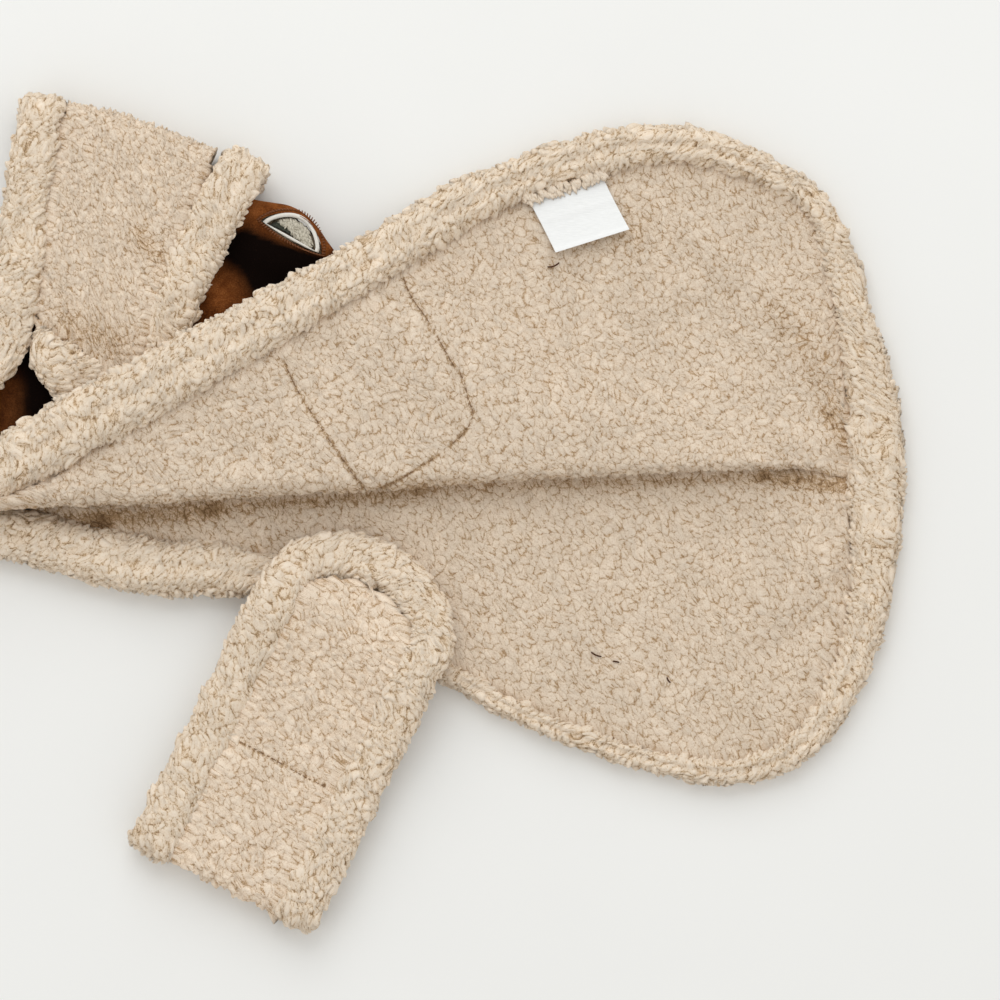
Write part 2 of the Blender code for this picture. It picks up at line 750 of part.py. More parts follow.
def leash_facing(collection):
    """The tape that faces the slit: a ring just inside its edge, standing a little proud of it."""
    outside, inside = slit_outline(SEAM), slit_outline(SEAM + SLIT_TAPE)
    high = slit_heights(outside)
    ring = [(outside, high + 0.4), (inside, high + 0.3), (inside, high - 2.0), (outside, high - 2.2)]
    rings = np.stack([at_height(places, z) for places, z in ring], axis=1)
    rings = np.concatenate([rings, rings[:1]])
    m, n = rings.shape[:2]
    index = np.arange((m - 1) * n).reshape(m - 1, n)
    a, b = index, np.roll(index, -1, axis=0)
    c, d = np.roll(b, -1, axis=1), np.roll(a, -1, axis=1)
    faces = np.concatenate([np.stack([a, b, c], -1).reshape(-1, 3), np.stack([a, c, d], -1).reshape(-1, 3)])
    add_mesh("leash_facing", rings[:-1].reshape(-1, 3), faces, "tape", collection)


def leash_lining(collection):
    """The sherpa seen through the slit: a low pad under the neck cloth."""
    outline = slit_outline(SEAM + SLIT_TAPE + 2 * GAP)
    centre = outline.mean(axis=0)
    high = slit_heights(outline)
    rings = [at_height(outline, 9.9), at_height(centre + (outline - centre) * 0.84, high - 1.3)]
    loft("leash_lining", np.stack(rings), "sherpa", collection)


def neck_layers(collection):
    """What lies inside the closed neck end: a cushion of even height with rounded sides."""
    outline = plan(smoothed(NECK_OUTLINE, 44, closed=True))
    side = left_of(outline, closed=True)
    rings = [at_height(outline + side * inset, z) for inset, z in np.array(list(LAYERS_RINGS.values())).T]
    loft("neck_layers", np.stack(rings), "sherpa", collection)


def chest_shell(collection):
    """The brown cloth of the chest end, on top of the layers inside it."""
    rows = smoothed(CHEST, 16)
    share = np.linspace(0, 1, 5)[None, :, None]
    grid = plan(rows)[:, None] * (1 - share) + plan(rows, "in_x", "in_y")[:, None] * share
    top = NECK_TOP - 0.5 - 1.6 * (2 * share[..., 0] - 1) ** 4 + 0 * grid[..., 0]
    wall("chest_shell", at_height(grid, top), at_height(grid, top - SHELL), "brown_suede", collection)


def collar_sherpa(collection):
    def tops(rows, share):
        return COLLAR_TOP + 0.8 * np.sin(math.pi * share) + 0 * rows["x"][:, None]

    wrapped_wall(
        COLLAR, 12, lambda high: high / 2, COLLAR_CLOTH, tops, "sherpa", "collar_sherpa", collection,
        flat=8,
    )


def collar_bindings(collection):
    """The rolls along the collar's edges, each turned down over the fold to the table."""
    band = roll_rings(smoothed(COLLAR_BAND, 18), turned=(-1,))
    loft("collar_band", band, "sherpa_binding", collection)
    binding = roll_rings(smoothed(COLLAR_BINDING, 24), turned=(-1,))
    loft("collar_binding", binding, "sherpa_binding", collection)


class Strap:
    """The belly strap's own frame: across it, and along it from its rounded end to its fold."""

    def __init__(self):
        self.along = np.array([-math.sin(STRAP_LEAN), -math.cos(STRAP_LEAN)])
        self.across = np.array([math.cos(STRAP_LEAN), -math.sin(STRAP_LEAN)])
        self.apex = np.array(STRAP_APEX)

    def place(self, across, along):
        across, along = np.broadcast_arrays(across, along)
        return self.apex + across[..., None] * self.across + along[..., None] * self.along

    def coordinates(self, points):
        return (points - self.apex) @ self.across, (points - self.apex) @ self.along

    @staticmethod
    def under(along):
        """The height of the upper layer's underside."""
        fine = smoothed({"x": STRAP["along"], "y": 0 * STRAP["along"], "under": STRAP["under"]}, 200)
        return np.interp(along, fine["x"], fine["under"])

    @staticmethod
    def half_width(along, inset):
        """Half the width of the outline drawn in by inset: straight sides, and half an ellipse."""
        end = STRAP_END - inset * 0.8
        start = inset
        share = np.clip((along - start) / end, 0, 1)
        return (STRAP_WIDTH / 2 - inset) * np.sqrt(1 - (1 - share) ** 2)


def strap_sherpa(strap, collection):
    """The upper layer between its bindings, and round the fold down to the table."""
    inset = STRAP_BORDER + GAP
    flat_end = STRAP_LENGTH - STRAP_FOLD
    share = np.linspace(0, 1, STRAP_STATIONS)
    along = inset + 0.6 + (flat_end - inset - 0.6) * share**1.25
    half = strap.half_width(along, inset)
    under = strap.under(along)
    crown = under + STRAP_CLOTH + 0.7
    angle = np.radians(90 - np.array(TURNS))
    radius = crown[-1] / 2
    across = np.linspace(-1, 1, 7)
    grids = []
    for depth in (0.0, STRAP_CLOTH):
        arc = radius - min(depth, radius - 1.0)
        run = np.concatenate([along, flat_end + arc * np.cos(angle)])
        height = np.concatenate([crown - depth, radius + arc * np.sin(angle)])
        width = np.concatenate([half, np.full(len(angle), half[-1])])
        places = strap.place(width[:, None] * across, run[:, None] + 0 * across)
        grids.append(at_height(places, height[:, None] + 0 * across))
    wall("strap_sherpa", grids[0], grids[1], "sherpa", collection)


def strap_binding(strap, collection):
    """The roll along both sides of the strap and round its end, turned down over the fold."""
    inset = STRAP_BORDER / 2
    side = STRAP_WIDTH / 2 - inset
    end = STRAP_END - inset * 0.8
    straight = np.linspace(STRAP_LENGTH - STRAP_FOLD, inset + end, 11)
    angle = np.linspace(0, math.pi, 17)[1:-1]
    across = np.concatenate([np.full(11, -side), -side * np.cos(angle), np.full(11, side)])
    along = np.concatenate([straight, inset + end * (1 - np.sin(angle)), straight[::-1]])
    path = strap.place(across, along)
    columns = {
        "x": path[:, 0],
        "y": path[:, 1],
        "width": np.full(len(along), STRAP_BORDER),
        "height": np.full(len(along), STRAP_ROLL),
        "rest": strap.under(along),
    }
    loft("strap_binding", roll_rings(columns, groove=0.1, turned=(0, -1)), "sherpa_binding", collection)


def strap_under(strap, hem, collection):
    """The strap's lower layer, back from the fold to the hem's outer edge: one rounded solid."""
    spread = np.sin(np.linspace(-math.pi / 2, math.pi / 2, 11))
    across = (STRAP_WIDTH / 2 - 3) * spread
    n, d = strap.coordinates(hem.outer[: hem.rump])
    order = np.argsort(n)
    start = np.interp(across, n[order], d[order]) + 1.5
    stop = STRAP_LENGTH - STRAP_FOLD - 0.6
    share = np.linspace(0, 1, 9)[:, None]
    along = start[None] + (stop - start[None]) * share
    middle = STRAP_UNDER / 2
    half = middle * np.sqrt(1 - 0.8 * np.abs(spread) ** 6) + 0 * along
    places = strap.place(across[None] + 0 * along, along)
    upper, lower = at_height(places, middle + half), at_height(places, middle - half)
    wall("strap_under", upper, lower, "sherpa", collection)


def label(collection):
    """A satin tag, sewn into the hem's seam at its top and lifting a little at its free end."""
    width, height = LABEL_SIZE
    right = np.array([math.cos(LABEL_LEAN), math.sin(LABEL_LEAN)])
    down = np.array([math.sin(LABEL_DROP), -math.cos(LABEL_DROP)])
    across, along = np.meshgrid(np.linspace(0, width, 6), np.linspace(0, height, 6), indexing="ij")
    places = np.array(LABEL_CORNER) + across[..., None] * right + along[..., None] * down
    rise = LINING_TOP + 0.5 + 2.2 * (along / height) ** 2 + 0.5 * np.sin(across / width * math.pi)
    wall("label", at_height(places, rise + LABEL_CLOTH), at_height(places, rise), "satin", collection)


def build():
    clear_scene()
    coat = new_collection("dog_coat")
    cutters = new_collection("cutters")
    hem = Hem()
    turned = TurnedBack(hem)
    strap = Strap()
    back_shell(hem, coat)
    right_lining(hem, coat)
    left_lining(turned, coat)
    folded_layers(turned, coat)
    hem_binding(hem, coat)
    neck_shell(slit_cutter(cutters), coat)
    leash_facing(coat)
    leash_lining(coat)
    neck_layers(coat)
    chest_shell(coat)
    collar_sherpa(coat)
    collar_bindings(coat)
    strap_sherpa(strap, coat)
    strap_binding(strap, coat)
    strap_under(strap, hem, coat)
    label(coat)


build()
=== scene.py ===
"""A dog coat with a sherpa lining, laid on a table: cloth, pile, sewing, colours and light round the
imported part.

Tables and functions are in millimetres, in the photo's table frame, and meshes are in metres in the
part's frame. X runs from the neck to the rump, Y from the belly strap to the turned-back hem, and Z up.
"""

import math  # noqa: E402
from functools import partialmethod  # noqa: E402

import bmesh  # noqa: E402
import bpy  # noqa: E402
import numpy as np  # noqa: E402
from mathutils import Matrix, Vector  # noqa: E402


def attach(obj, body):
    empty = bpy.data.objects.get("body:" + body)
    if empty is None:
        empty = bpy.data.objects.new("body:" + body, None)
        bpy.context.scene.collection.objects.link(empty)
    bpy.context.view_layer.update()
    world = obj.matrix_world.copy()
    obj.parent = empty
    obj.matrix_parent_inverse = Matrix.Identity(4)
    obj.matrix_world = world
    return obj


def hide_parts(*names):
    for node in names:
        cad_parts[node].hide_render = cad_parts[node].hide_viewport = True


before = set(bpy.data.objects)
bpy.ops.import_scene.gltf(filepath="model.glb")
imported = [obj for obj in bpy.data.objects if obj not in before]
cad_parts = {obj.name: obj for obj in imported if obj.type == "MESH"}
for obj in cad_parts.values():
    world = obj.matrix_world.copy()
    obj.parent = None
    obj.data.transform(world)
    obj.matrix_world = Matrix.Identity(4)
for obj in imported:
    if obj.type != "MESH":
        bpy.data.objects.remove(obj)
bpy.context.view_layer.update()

METRES = 0.001
GAP = 0.3  # left between pieces that are sewn together or lie on each other
ORIGIN = (138.9, 195.2)  # the middle of the coat's bounding box on the table

SHELL = 1.3  # suede-look outer cloth
PILE = 5.0  # sherpa, from its backing to the tips of its pile
LINING_BASE = SHELL + GAP
LINING_TOP = LINING_BASE + PILE
LEAST_TOP = LINING_TOP + 0.4  # the lowest that anything folded over the right half may lie

SEAM = 0.7  # from the hem to the cloth sewn into it
HEM_STATIONS = 92  # the part's own, as are those of the turned-back lining
LINING_STATIONS = 34
STEP_REACH = 24.0  # half the width over which the turned-back half climbs onto the folded layers

NECK_TOP = 13.3  # top of the closed neck end's outer cloth
NECK_FLOOR = 2.2  # the lowest that its fold goes
COLLAR_TOP = 19.0
COLLAR_CLOTH = 5.0

STRAP_WIDTH = 83.0
STRAP_LENGTH = 154.0
STRAP_END = 32.0  # how deep its rounded end is
STRAP_BORDER = 19.5  # width of its binding
STRAP_APEX = (156.6, 181.8)  # the tip of its rounded end
STRAP_LEAN = math.radians(26.6)  # of its length, from -Y towards -X
STRAP_CLOTH = 6.0
STRAP_ROLL = 8.0  # height of its binding
STRAP_UNDER = 7.6  # thickness of its lower layer
STRAP_FOLD = 7.4  # radius of the fold at its lower end
STRAP_SOFT = 0.7  # how far its pile stands out of the solid's top

LABEL_SIZE = (31.0, 23.5)
LABEL_CORNER = (211.6, 320.0)  # the start of its sewn edge
LABEL_LEAN = math.radians(17.5)  # of its sewn edge
LABEL_DROP = math.radians(27)  # of its sides, from straight down the coat

SLIT_ENDS = ((104.2, 311.8), (128.6, 298.2))
SLIT_BULGES = (9.2, 1.6)  # of its far lip and its near lip, from the line between its ends
SLIT_TAPE = 1.1  # how much of the tape shows round it

ROLL_PILE = 0.35  # how far the pile of a bound edge stands out of the solid's
LINING_CELL, LINING_DEPTH = 2.15, 0.5  # how wide the curls are, and how deep
COLLAR_CELL, COLLAR_DEPTH = 1.75, 0.8
TUFT = (2.8, 1.5, 1.9)  # of long pile: how wide, how high, and how many times as long as wide

ROLL_COLUMNS = "x y width height rest"
FOLD_COLUMNS = "x1 y1 x2 y2 reach height"


def table(columns, rows):
    """The rows as one array for each named column."""
    return dict(zip(columns.split(), np.array(rows, float).T))


# One row for each section of the hem's roll: its middle, width, height, and how high it lies. It starts
# at the neck end, and goes round the right half, the rump and the turned-back left half.
HEM = table(ROLL_COLUMNS, [
    (-20, 258, 14, 10.5, 0), (-36, 247.5, 17, 11.5, 0), (-54, 237, 19, 12, 0), (-68, 225, 20, 12, 0),
    (-74.5, 209, 20, 12, 0), (-68, 195, 21, 12, 0), (-46, 186, 22, 12.5, 0), (-22, 187.5, 22, 12.8, 0),
    (0, 187, 22, 14, 0), (38, 177.6, 22, 15, 0), (60, 173.6, 22, 15, 0), (84, 172.4, 21, 14, 0),
    (105, 169.6, 18, 13, 0), (132, 157, 15, 12, 0), (160, 141, 12, 11, 0), (182, 129, 9.5, 10, 0),
    (208, 115, 9, 9.5, 0), (230, 105.6, 9, 9.5, 0), (256, 97, 9.2, 9.5, 0), (282, 91.6, 10, 10, 0),
    (300, 91.8, 11, 10, 0), (315, 98, 12.5, 10.5, 0), (329, 110.6, 13, 11, 0),
    (340.5, 132, 14.5, 12, 0), (347, 154, 16.5, 12, 0), (350, 178, 19.5, 12.5, 0),
    (350.8, 206, 23, 12.5, 0), (350.4, 226, 22, 12.5, 0), (347.5, 248, 19, 12, 0),
    (342.8, 270.4, 15.5, 12, 0), (336.4, 296, 13, 11, 0), (326, 319, 11, 11, 0),
    (302, 334, 13, 11.5, 0), (282.8, 340.6, 15, 12, 0), (260, 342.4, 16, 12, 0),
    (236.4, 338, 17.5, 12.5, 0), (211, 329.6, 17.5, 12.5, 0), (182, 316.4, 19.5, 13, 0.3),
    (158, 301.6, 21, 13, 5.5), (140, 290.4, 20.5, 13, 13.2), (124.4, 281.4, 21.5, 13, 15.2),
    (106.6, 271, 22.5, 13.5, 16), (86.2, 259.6, 24, 13.5, 19.5), (68.4, 249.6, 25, 13.5, 21.2),
    (52.4, 240.6, 25, 13.5, 21.2), (30, 228.4, 24.5, 13.5, 20), (6, 214.8, 23.5, 13.5, 15),
    (-14, 203.6, 22, 13, 13.8), (-29, 195.5, 20, 11, 13.6)
])

# The crease where the left half is turned back, from the neck to the rump: its place, the height of
# the lining's top there, the radius of the fold, and how far in under it the hidden layers go.
CREASE = table("x y top radius tuck", [
    (-4, 195.6, 28.5, 8.5, 3), (27, 197, 28.5, 8.6, 7), (62, 198, 28.2, 8.6, 20),
    (89, 200, 27.6, 8.5, 28), (124, 202, 26, 8.2, 42), (143, 203, 25, 8, 56), (160, 204, 24, 7.8, 66),
    (200, 207, 22, 7.2, 50), (240, 209, 20.4, 6.5, 33), (280, 211, 18.4, 5.3, 16),
    (300, 211.6, 16.3, 4.3, 5), (310, 211.8, 15.1, 3.7, -0.5), (325, 211.4, 11.4, 3.4, -1),
    (337.4, 207.8, 7.4, 2.6, -1)
])
SPINE = ((134.4, 298.0), (336.0, 209.0))  # the hidden fold along the back, under the left half

# Soft folds in the lining: the line each runs along, its half width, and its height or depth.
FOLDS = table(FOLD_COLUMNS, [
    (268, 296, 326, 246, 13, -1.6), (286, 300, 334, 262, 11, 1.5), (322, 250, 330, 222, 8, 1.6),
    (300, 150, 332, 172, 10, 1.6), (312, 136, 336, 156, 8, -1.3), (306, 190, 330, 184, 9, -1.2),
    (232, 122, 300, 118, 14, 1.2), (150, 250, 212, 228, 16, 1.0), (196, 252, 250, 300, 18, -1.0)
])

# The brown outer cloth of the neck: its folded edge along the spine, the hidden edge under the hem,
# and the height of its top at the fold, in the hollow behind it and at the hem.
NECK = table("x y in_x in_y fold hollow far", [
    (142, 289, 140, 270, 11.8, 11.4, 11.4), (135.6, 297.4, 128, 255, 12.6, 12.0, 12.2),
    (131.2, 303.2, 120, 249, 13.4, 11.8, 12.6), (127.2, 309, 114, 244, 14.0, 11.4, 13.0),
    (121.8, 314.6, 107, 239, 14.4, 11.3, 13.2), (116, 317.8, 100, 235, 14.6, 11.2, 13.2),
    (108.8, 319.2, 92, 231, 14.2, 11.2, 13.2), (101.2, 320.6, 84, 228, 13.4, 11.6, 13.2),
    (94, 324, 76, 225, 13.3, 12.4, 13.2), (80, 328.6, 66, 222, 13.2, 13.0, 13.2)
])
HOLLOW_PLACE = 0.34  # across the neck cloth, from its fold

# The brown cloth of the chest end, which shows in the notch under the collar: its upper and lower edges.
CHEST = table("x y in_x in_y", [
    (46, 246, 45, 216), (24, 267, 28, 211), (4, 274, 12, 206.5), (-7, 260.5, -4, 204),
    (-20, 246, -20, 202), (-36, 233.5, -34, 200.5), (-49, 222.5, -44, 199.5), (-56, 211.5, -52.5, 202)
])

# The outline of the layers inside the closed neck end.
NECK_OUTLINE = table("x y", [
    (142, 285), (135.6, 297.4), (127.2, 309), (116, 317.8), (101.2, 320.6), (80, 328.6), (50, 339),
    (25, 346), (13, 338), (9.5, 318), (6, 300), (-1, 280), (-7, 261), (-17, 248), (-31, 237),
    (-44, 227), (-54, 217), (-56, 207), (-42, 199.5), (-20, 201.5), (8, 204.5), (38, 213), (66, 221),
    (92, 231), (114, 244), (134, 262)
])
# The neck end of the cloth on the table, from the spine round under the collar to the chest.
BACK_NECK = table("x y", [
    (146, 284), (131, 297), (121, 307.5), (107, 313.5), (94, 317), (70, 325), (46, 333), (27, 338),
    (18, 330), (14.5, 312), (10, 295), (2, 277), (-8, 260)
])

# The collar between its bindings: the fold along its top, its lower edge, and how far its sections
# swing sideways halfway down.
COLLAR = table("x y in_x in_y bow", [
    (27.4, 360.6, 16.4, 269.4, 0), (44, 356.6, 28.4, 265.1, -1), (60, 351.4, 37.4, 257.9, -2),
    (74, 346.2, 45.4, 250.2, -3), (87, 340.8, 53.1, 247.7, -4)
])

# The rolls along the collar's edges: each ends over the fold at the top.
COLLAR_BAND = table(ROLL_COLUMNS, [
    (-30, 233, 17, 9, 13.6), (-16, 246, 22, 9.5, 13.6), (-2.8, 258.2, 22.4, 9.5, 13.6),
    (4.6, 273.5, 20, 9.5, 13.6), (8.8, 292, 19.5, 9.5, 13.6), (10.2, 313, 19, 9.5, 13.6),
    (12.8, 331, 18.5, 9.5, 13.6), (15.4, 345, 18, 9.5, 13.6), (16.6, 352, 18, 9.5, 13.6)
])
COLLAR_BINDING = table(ROLL_COLUMNS, [
    (17.7, 266.6, 6.5, 8.2, 13.6), (18.4, 262.4, 14, 8.5, 13.6), (25.2, 253.4, 20.6, 8.5, 13.6),
    (34, 246.2, 20.4, 6.4, 13.6), (42, 239, 18.5, 5.8, 13.6), (52, 234.6, 18, 5.8, 13.6),
    (60.5, 240, 18, 5.8, 13.6), (64.6, 252, 18, 6, 13.6), (68.4, 270, 18.5, 6.8, 13.6),
    (72.6, 284, 19, 9.5, 13.8), (79.2, 299, 19.5, 9.5, 14.2), (88.8, 317, 20, 9.5, 14.4),
    (95, 328.6, 20, 9.5, 14.4)
])

# The belly strap's upper layer, from its rounded end on the lining over the hem to its fold: the
# distance from the end, and the height of the layer's underside.
STRAP = table("along under", [
    (0, 7.2), (14, 8.2), (24, 12.6), (34, 15.6), (46, 15.2), (60, 12), (82, 9.4), (130, 9), (154, 9)
])

# Finer folds than the part's, in the same form.
FINE_FOLDS = table(FOLD_COLUMNS, [
    (296, 262, 318, 236, 6, 0.9), (280, 276, 304, 250, 5, -0.7), (252, 286, 270, 262, 7, 0.7),
    (222, 300, 236, 282, 6, -0.6), (302, 226, 334, 217, 6, 0.8), (330, 196, 344, 188, 5, -0.8),
    (322, 178, 342, 172, 5, 0.7), (318, 150, 338, 146, 5, -0.7), (292, 116, 316, 108, 7, 0.8),
    (254, 112, 284, 104, 6, -0.6), (206, 132, 232, 124, 7, 0.6), (178, 160, 204, 148, 8, -0.7),
    (30, 190, 66, 187, 5, 0.7), (88, 194, 112, 184, 6, -0.7), (120, 226, 150, 236, 8, 0.6),
    (92, 214, 118, 224, 6, -0.5)
])

# Painted shade in the linings' and collar's deepest places, most under the crease, in the same form.
DEEP_SHADE_ROWS = table(FOLD_COLUMNS, [
    (-8, 193, 40, 190, 5, 0.65), (40, 192.5, 84, 196, 4.5, 0.55), (84, 196.5, 168, 203, 3.2, 0.45),
    (168, 204.5, 306, 209, 2.6, 0.35), (306, 210, 340, 205, 3.6, 0.62), (332, 234, 340, 222, 4, 0.4),
    (312, 276, 334, 240, 7, 0.2), (28, 271, 46, 262, 6, 0.35), (56, 306, 63, 297, 5, 0.3),
    (222, 318, 252, 306, 9, 0.2)
])

# The line of thread round the patch on the turned-back half, and where it can be seen: three runs.
PATCH_LINES = (
    table("x y", [(161.6, 288.4), (164, 282.4), (171.2, 271.6), (175.6, 264), (180.8, 254.8),
                  (185.6, 247.6), (187.2, 240.4), (189.2, 234), (187.2, 228.8), (179.2, 220.8)]),
    table("x y", [(176, 218), (169, 213.6), (160, 208), (152, 204)]),
    table("x y", [(114, 255.2), (118.8, 244.8), (126.8, 232), (132, 224), (140, 212.4), (146, 204)]),
)
STRAP_LINE = (97.6, -18.9, 22.5)  # how far down the strap, and from where to where across it

# Loose bits of thread that lie on the lining: where, how long, which way, and how bent.
THREAD_BITS = (
    (221.5, 294, 5.0, 20, 0.5),
    (238.5, 138, 4.6, -24, 0.3),
    (246.5, 135.2, 2.6, -10, -0.3),
    (267.5, 127.8, 2.6, -58, 0.4),
)

# Soft folds in the neck cloth, and where painted shade darkens it and the chest cloth towards black.
NECK_FOLDS = table(FOLD_COLUMNS, [
    (88, 302, 124, 286, 7, -1.2), (84, 282, 104, 272, 9, 0.5), (106, 300, 130, 290, 5, 0.4),
    (92, 296, 98, 270, 6, -0.4)
])
NECK_SHADE = table(FOLD_COLUMNS, [
    (87, 302, 122, 288, 8.5, 1.15), (106, 284, 122, 272, 10, 0.95), (74, 268, 96, 252, 9, 0.5),
    (99, 309, 93, 317, 4, 0.25), (99, 303, 131, 291.5, 5, 0.95), (112, 289, 134, 292, 6, 0.6)
])
CHEST_SHADE = table(FOLD_COLUMNS, [
    (8, 262, 22, 240, 11, 1.1), (-2, 236, 14, 226, 12, 0.55), (20, 238, 30, 225, 9, 0.6)
])


def unit(vectors):
    return vectors / np.maximum(np.linalg.norm(vectors, axis=-1, keepdims=True), 1e-9)


def smoothstep(value):
    value = np.clip(value, 0.0, 1.0)
    return value * value * (3 - 2 * value)


def run_length(points):
    """How far along the points each lies, in plan."""
    steps = np.linalg.norm(np.diff(points[:, :2], axis=0), axis=1)
    return np.concatenate([[0.0], np.cumsum(steps)])


def smoothed(columns, count, closed=False):
    """The columns read off a smooth curve through the table's rows, at evenly spaced places in plan.
    Each stretch is a cubic whose slopes at its ends are those of the rows on either side."""
    rows = np.array(list(columns.values())).T
    if closed:
        rows = np.concatenate([rows[-3:], rows, rows[:4]])
    chord = run_length(rows)
    slope = np.gradient(rows, chord, axis=0)
    first, last = (chord[3], chord[-4]) if closed else (chord[0], chord[-1])
    fine = np.linspace(first, last, max(40 * count, 4000))
    k = np.clip(np.searchsorted(chord, fine, "right") - 1, 0, len(chord) - 2)
    span = (chord[k + 1] - chord[k])[:, None]
    t = (fine - chord[k])[:, None] / span
    values = (
        rows[k] * (1 + 2 * t) * (1 - t) ** 2
        + rows[k + 1] * t**2 * (3 - 2 * t)
        + slope[k] * span * t * (1 - t) ** 2
        + slope[k + 1] * span * t**2 * (t - 1)
    )
    length = run_length(values)
    wanted = np.linspace(0, length[-1], count + 1 if closed else count)
    even = [np.interp(wanted, length, column) for column in values.T]
    return {name: value[:count] for name, value in zip(columns, even)}


def plan(columns, x="x", y="y"):
    return np.stack([columns[x], columns[y]], axis=-1)


def left_of(path, closed=False):
    """The unit vector to the left of a path's direction at each of its points, in plan."""
    if closed:
        tangent = unit(np.roll(path, -1, axis=0) - np.roll(path, 1, axis=0))
    else:
        tangent = unit(np.gradient(path, axis=0))
    return np.stack([-tangent[:, 1], tangent[:, 0]], axis=-1)


def at_height(points, z):
    """Plan points with their heights."""
    heights = np.broadcast_to(np.asarray(z, float)[..., None], (*points.shape[:-1], 1))
    return np.concatenate([points, heights], axis=-1)


# ---------------------------------------------------------------- meshes


def in_scene(name, data):
    """A new object in the scene."""
    made = bpy.data.objects.new(name, data)
    bpy.context.scene.collection.objects.link(made)
    return made


def new_piece(name, shape, finish, node=None, looks=()):
    """A piece from its shape, which is points in millimetres and arrays of faces. looks holds one or
    three numbers a point under each attribute's name. node is the solid that the piece replaces."""
    points, faces = shape
    places = ((np.asarray(points, float) - (*ORIGIN, 0.0)) * METRES).astype(np.float32)
    places[:, 2] = np.maximum(places[:, 2], 0.0)
    faces = [np.asarray(part, np.int32) for part in faces if len(part)]
    mesh = bpy.data.meshes.new(name)
    mesh.vertices.add(len(places))
    mesh.vertices.foreach_set("co", places.ravel())
    loops = np.concatenate([part.ravel() for part in faces])
    sizes = np.concatenate([np.full(len(part), part.shape[1]) for part in faces])
    mesh.loops.add(len(loops))
    mesh.loops.foreach_set("vertex_index", loops)
    mesh.polygons.add(len(sizes))
    mesh.polygons.foreach_set("loop_start", (np.cumsum(sizes) - sizes).astype(np.int32))
    mesh.update(calc_edges=True)
    mesh.validate()
    for attribute, value in dict(looks).items():
        kind, field = ("FLOAT", "value") if value.size == len(places) else ("FLOAT_VECTOR", "vector")
        made = mesh.attributes.new(attribute, kind, "POINT")
        made.data.foreach_set(field, np.asarray(value, np.float32).ravel())
    mesh.shade_smooth()
    mesh.materials.append(finish)
    piece = in_scene(name, mesh)
    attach(piece, "root")
    if node:
        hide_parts(node)
    return piece


def grid_index(m, n):
    return np.arange(m * n).reshape(m, n)


def between(index, after):
    """Four-sided faces between each row of places and the next. after holds the place after each."""
    return np.stack([index[:-1], index[1:], after[1:], after[:-1]], -1).reshape(-1, 4)


def normals(grid):
    """The unit normal of a grid of points: its step along the rows crossed with its step along the
    columns."""
    return unit(np.cross(np.gradient(grid, axis=0), np.gradient(grid, axis=1)))


def upward(*grids):
    """The grids with their columns reversed where that is needed for the first to face upwards."""
    return grids if normals(grids[0])[..., 2].sum() > 0 else tuple(grid[:, ::-1] for grid in grids)


def facing_out(rings):
    """Closed rings with their columns reversed where that is needed for them to face outwards."""
    out = rings - rings.mean(axis=1, keepdims=True)
    return rings if (normals(rings) * out).sum() > 0 else rings[:, ::-1]


def rim_of(m, n):
    """The places round the rim of a grid, in order."""
    index = grid_index(m, n)
    return np.concatenate([index[0], index[1:, -1], index[-1, -2::-1], index[-2:0:-1, 0]])


def slab(outer, inner, skip=1):
    """Points and faces of a closed slab between two grids of the same size, joined round their rims. Only
    each skip-th row and column of the inner grid is used, and each of its rim's steps is a fan."""
    inner = inner[::skip, ::skip]
    m, n = outer.shape[:2]
    p, q = inner.shape[:2]
    fine = rim_of(m, n)
    start = rim_of(p, q) + m * n
    stop = np.roll(start, -1)
    steps = np.append(fine, fine[0])[np.arange(len(start))[:, None] * skip + np.arange(skip + 1)]
    half = skip // 2
    own = np.where(np.arange(skip) < half, start[:, None], stop[:, None])
    fans = np.stack([steps[:, :-1], steps[:, 1:], own], -1).reshape(-1, 3)
    joins = np.stack([steps[:, half], stop, start], -1)
    above, below = grid_index(m, n), grid_index(p, q) + m * n
    top, bottom = (between(index[:, :-1], index[:, 1:]) for index in (above, below))
    return np.concatenate([outer.reshape(-1, 3), inner.reshape(-1, 3)]), [top, bottom[:, ::-1], fans, joins]


def tube(rings):
    """Points and faces of a closed surface through rings that face outwards, each closed round its
    columns, with a fan over each end."""
    m, n = rings.shape[:2]
    index = grid_index(m, n)
    after = np.roll(index, -1, axis=1)
    first, last = np.full(n, m * n), np.full(n, m * n + 1)
    fans = np.concatenate([[index[0], after[0], first], [after[-1], index[-1], last]], axis=1).T
    middles = [rings[0].mean(axis=0), rings[-1].mean(axis=0)]
    return np.concatenate([rings.reshape(-1, 3), middles]), [between(index, after), fans]


# ---------------------------------------------------------------- pile


def slow(s, t, size, seed):
    """Smooth noise from -1 to 1 over two coordinates: random numbers on a square lattice of that size,
    with an eased blend between them."""
    values = np.random.default_rng(seed).uniform(-1, 1, (64, 64))
    gs, gt = s / size, t / size
    i, j = np.floor(gs).astype(int), np.floor(gt).astype(int)
    u, v = smoothstep(gs - i), smoothstep(gt - j)
    near, far = (values[i % 64, k % 64] * (1 - u) + values[(i + 1) % 64, k % 64] * u for k in (j, j + 1))
    return near * (1 - v) + far * v


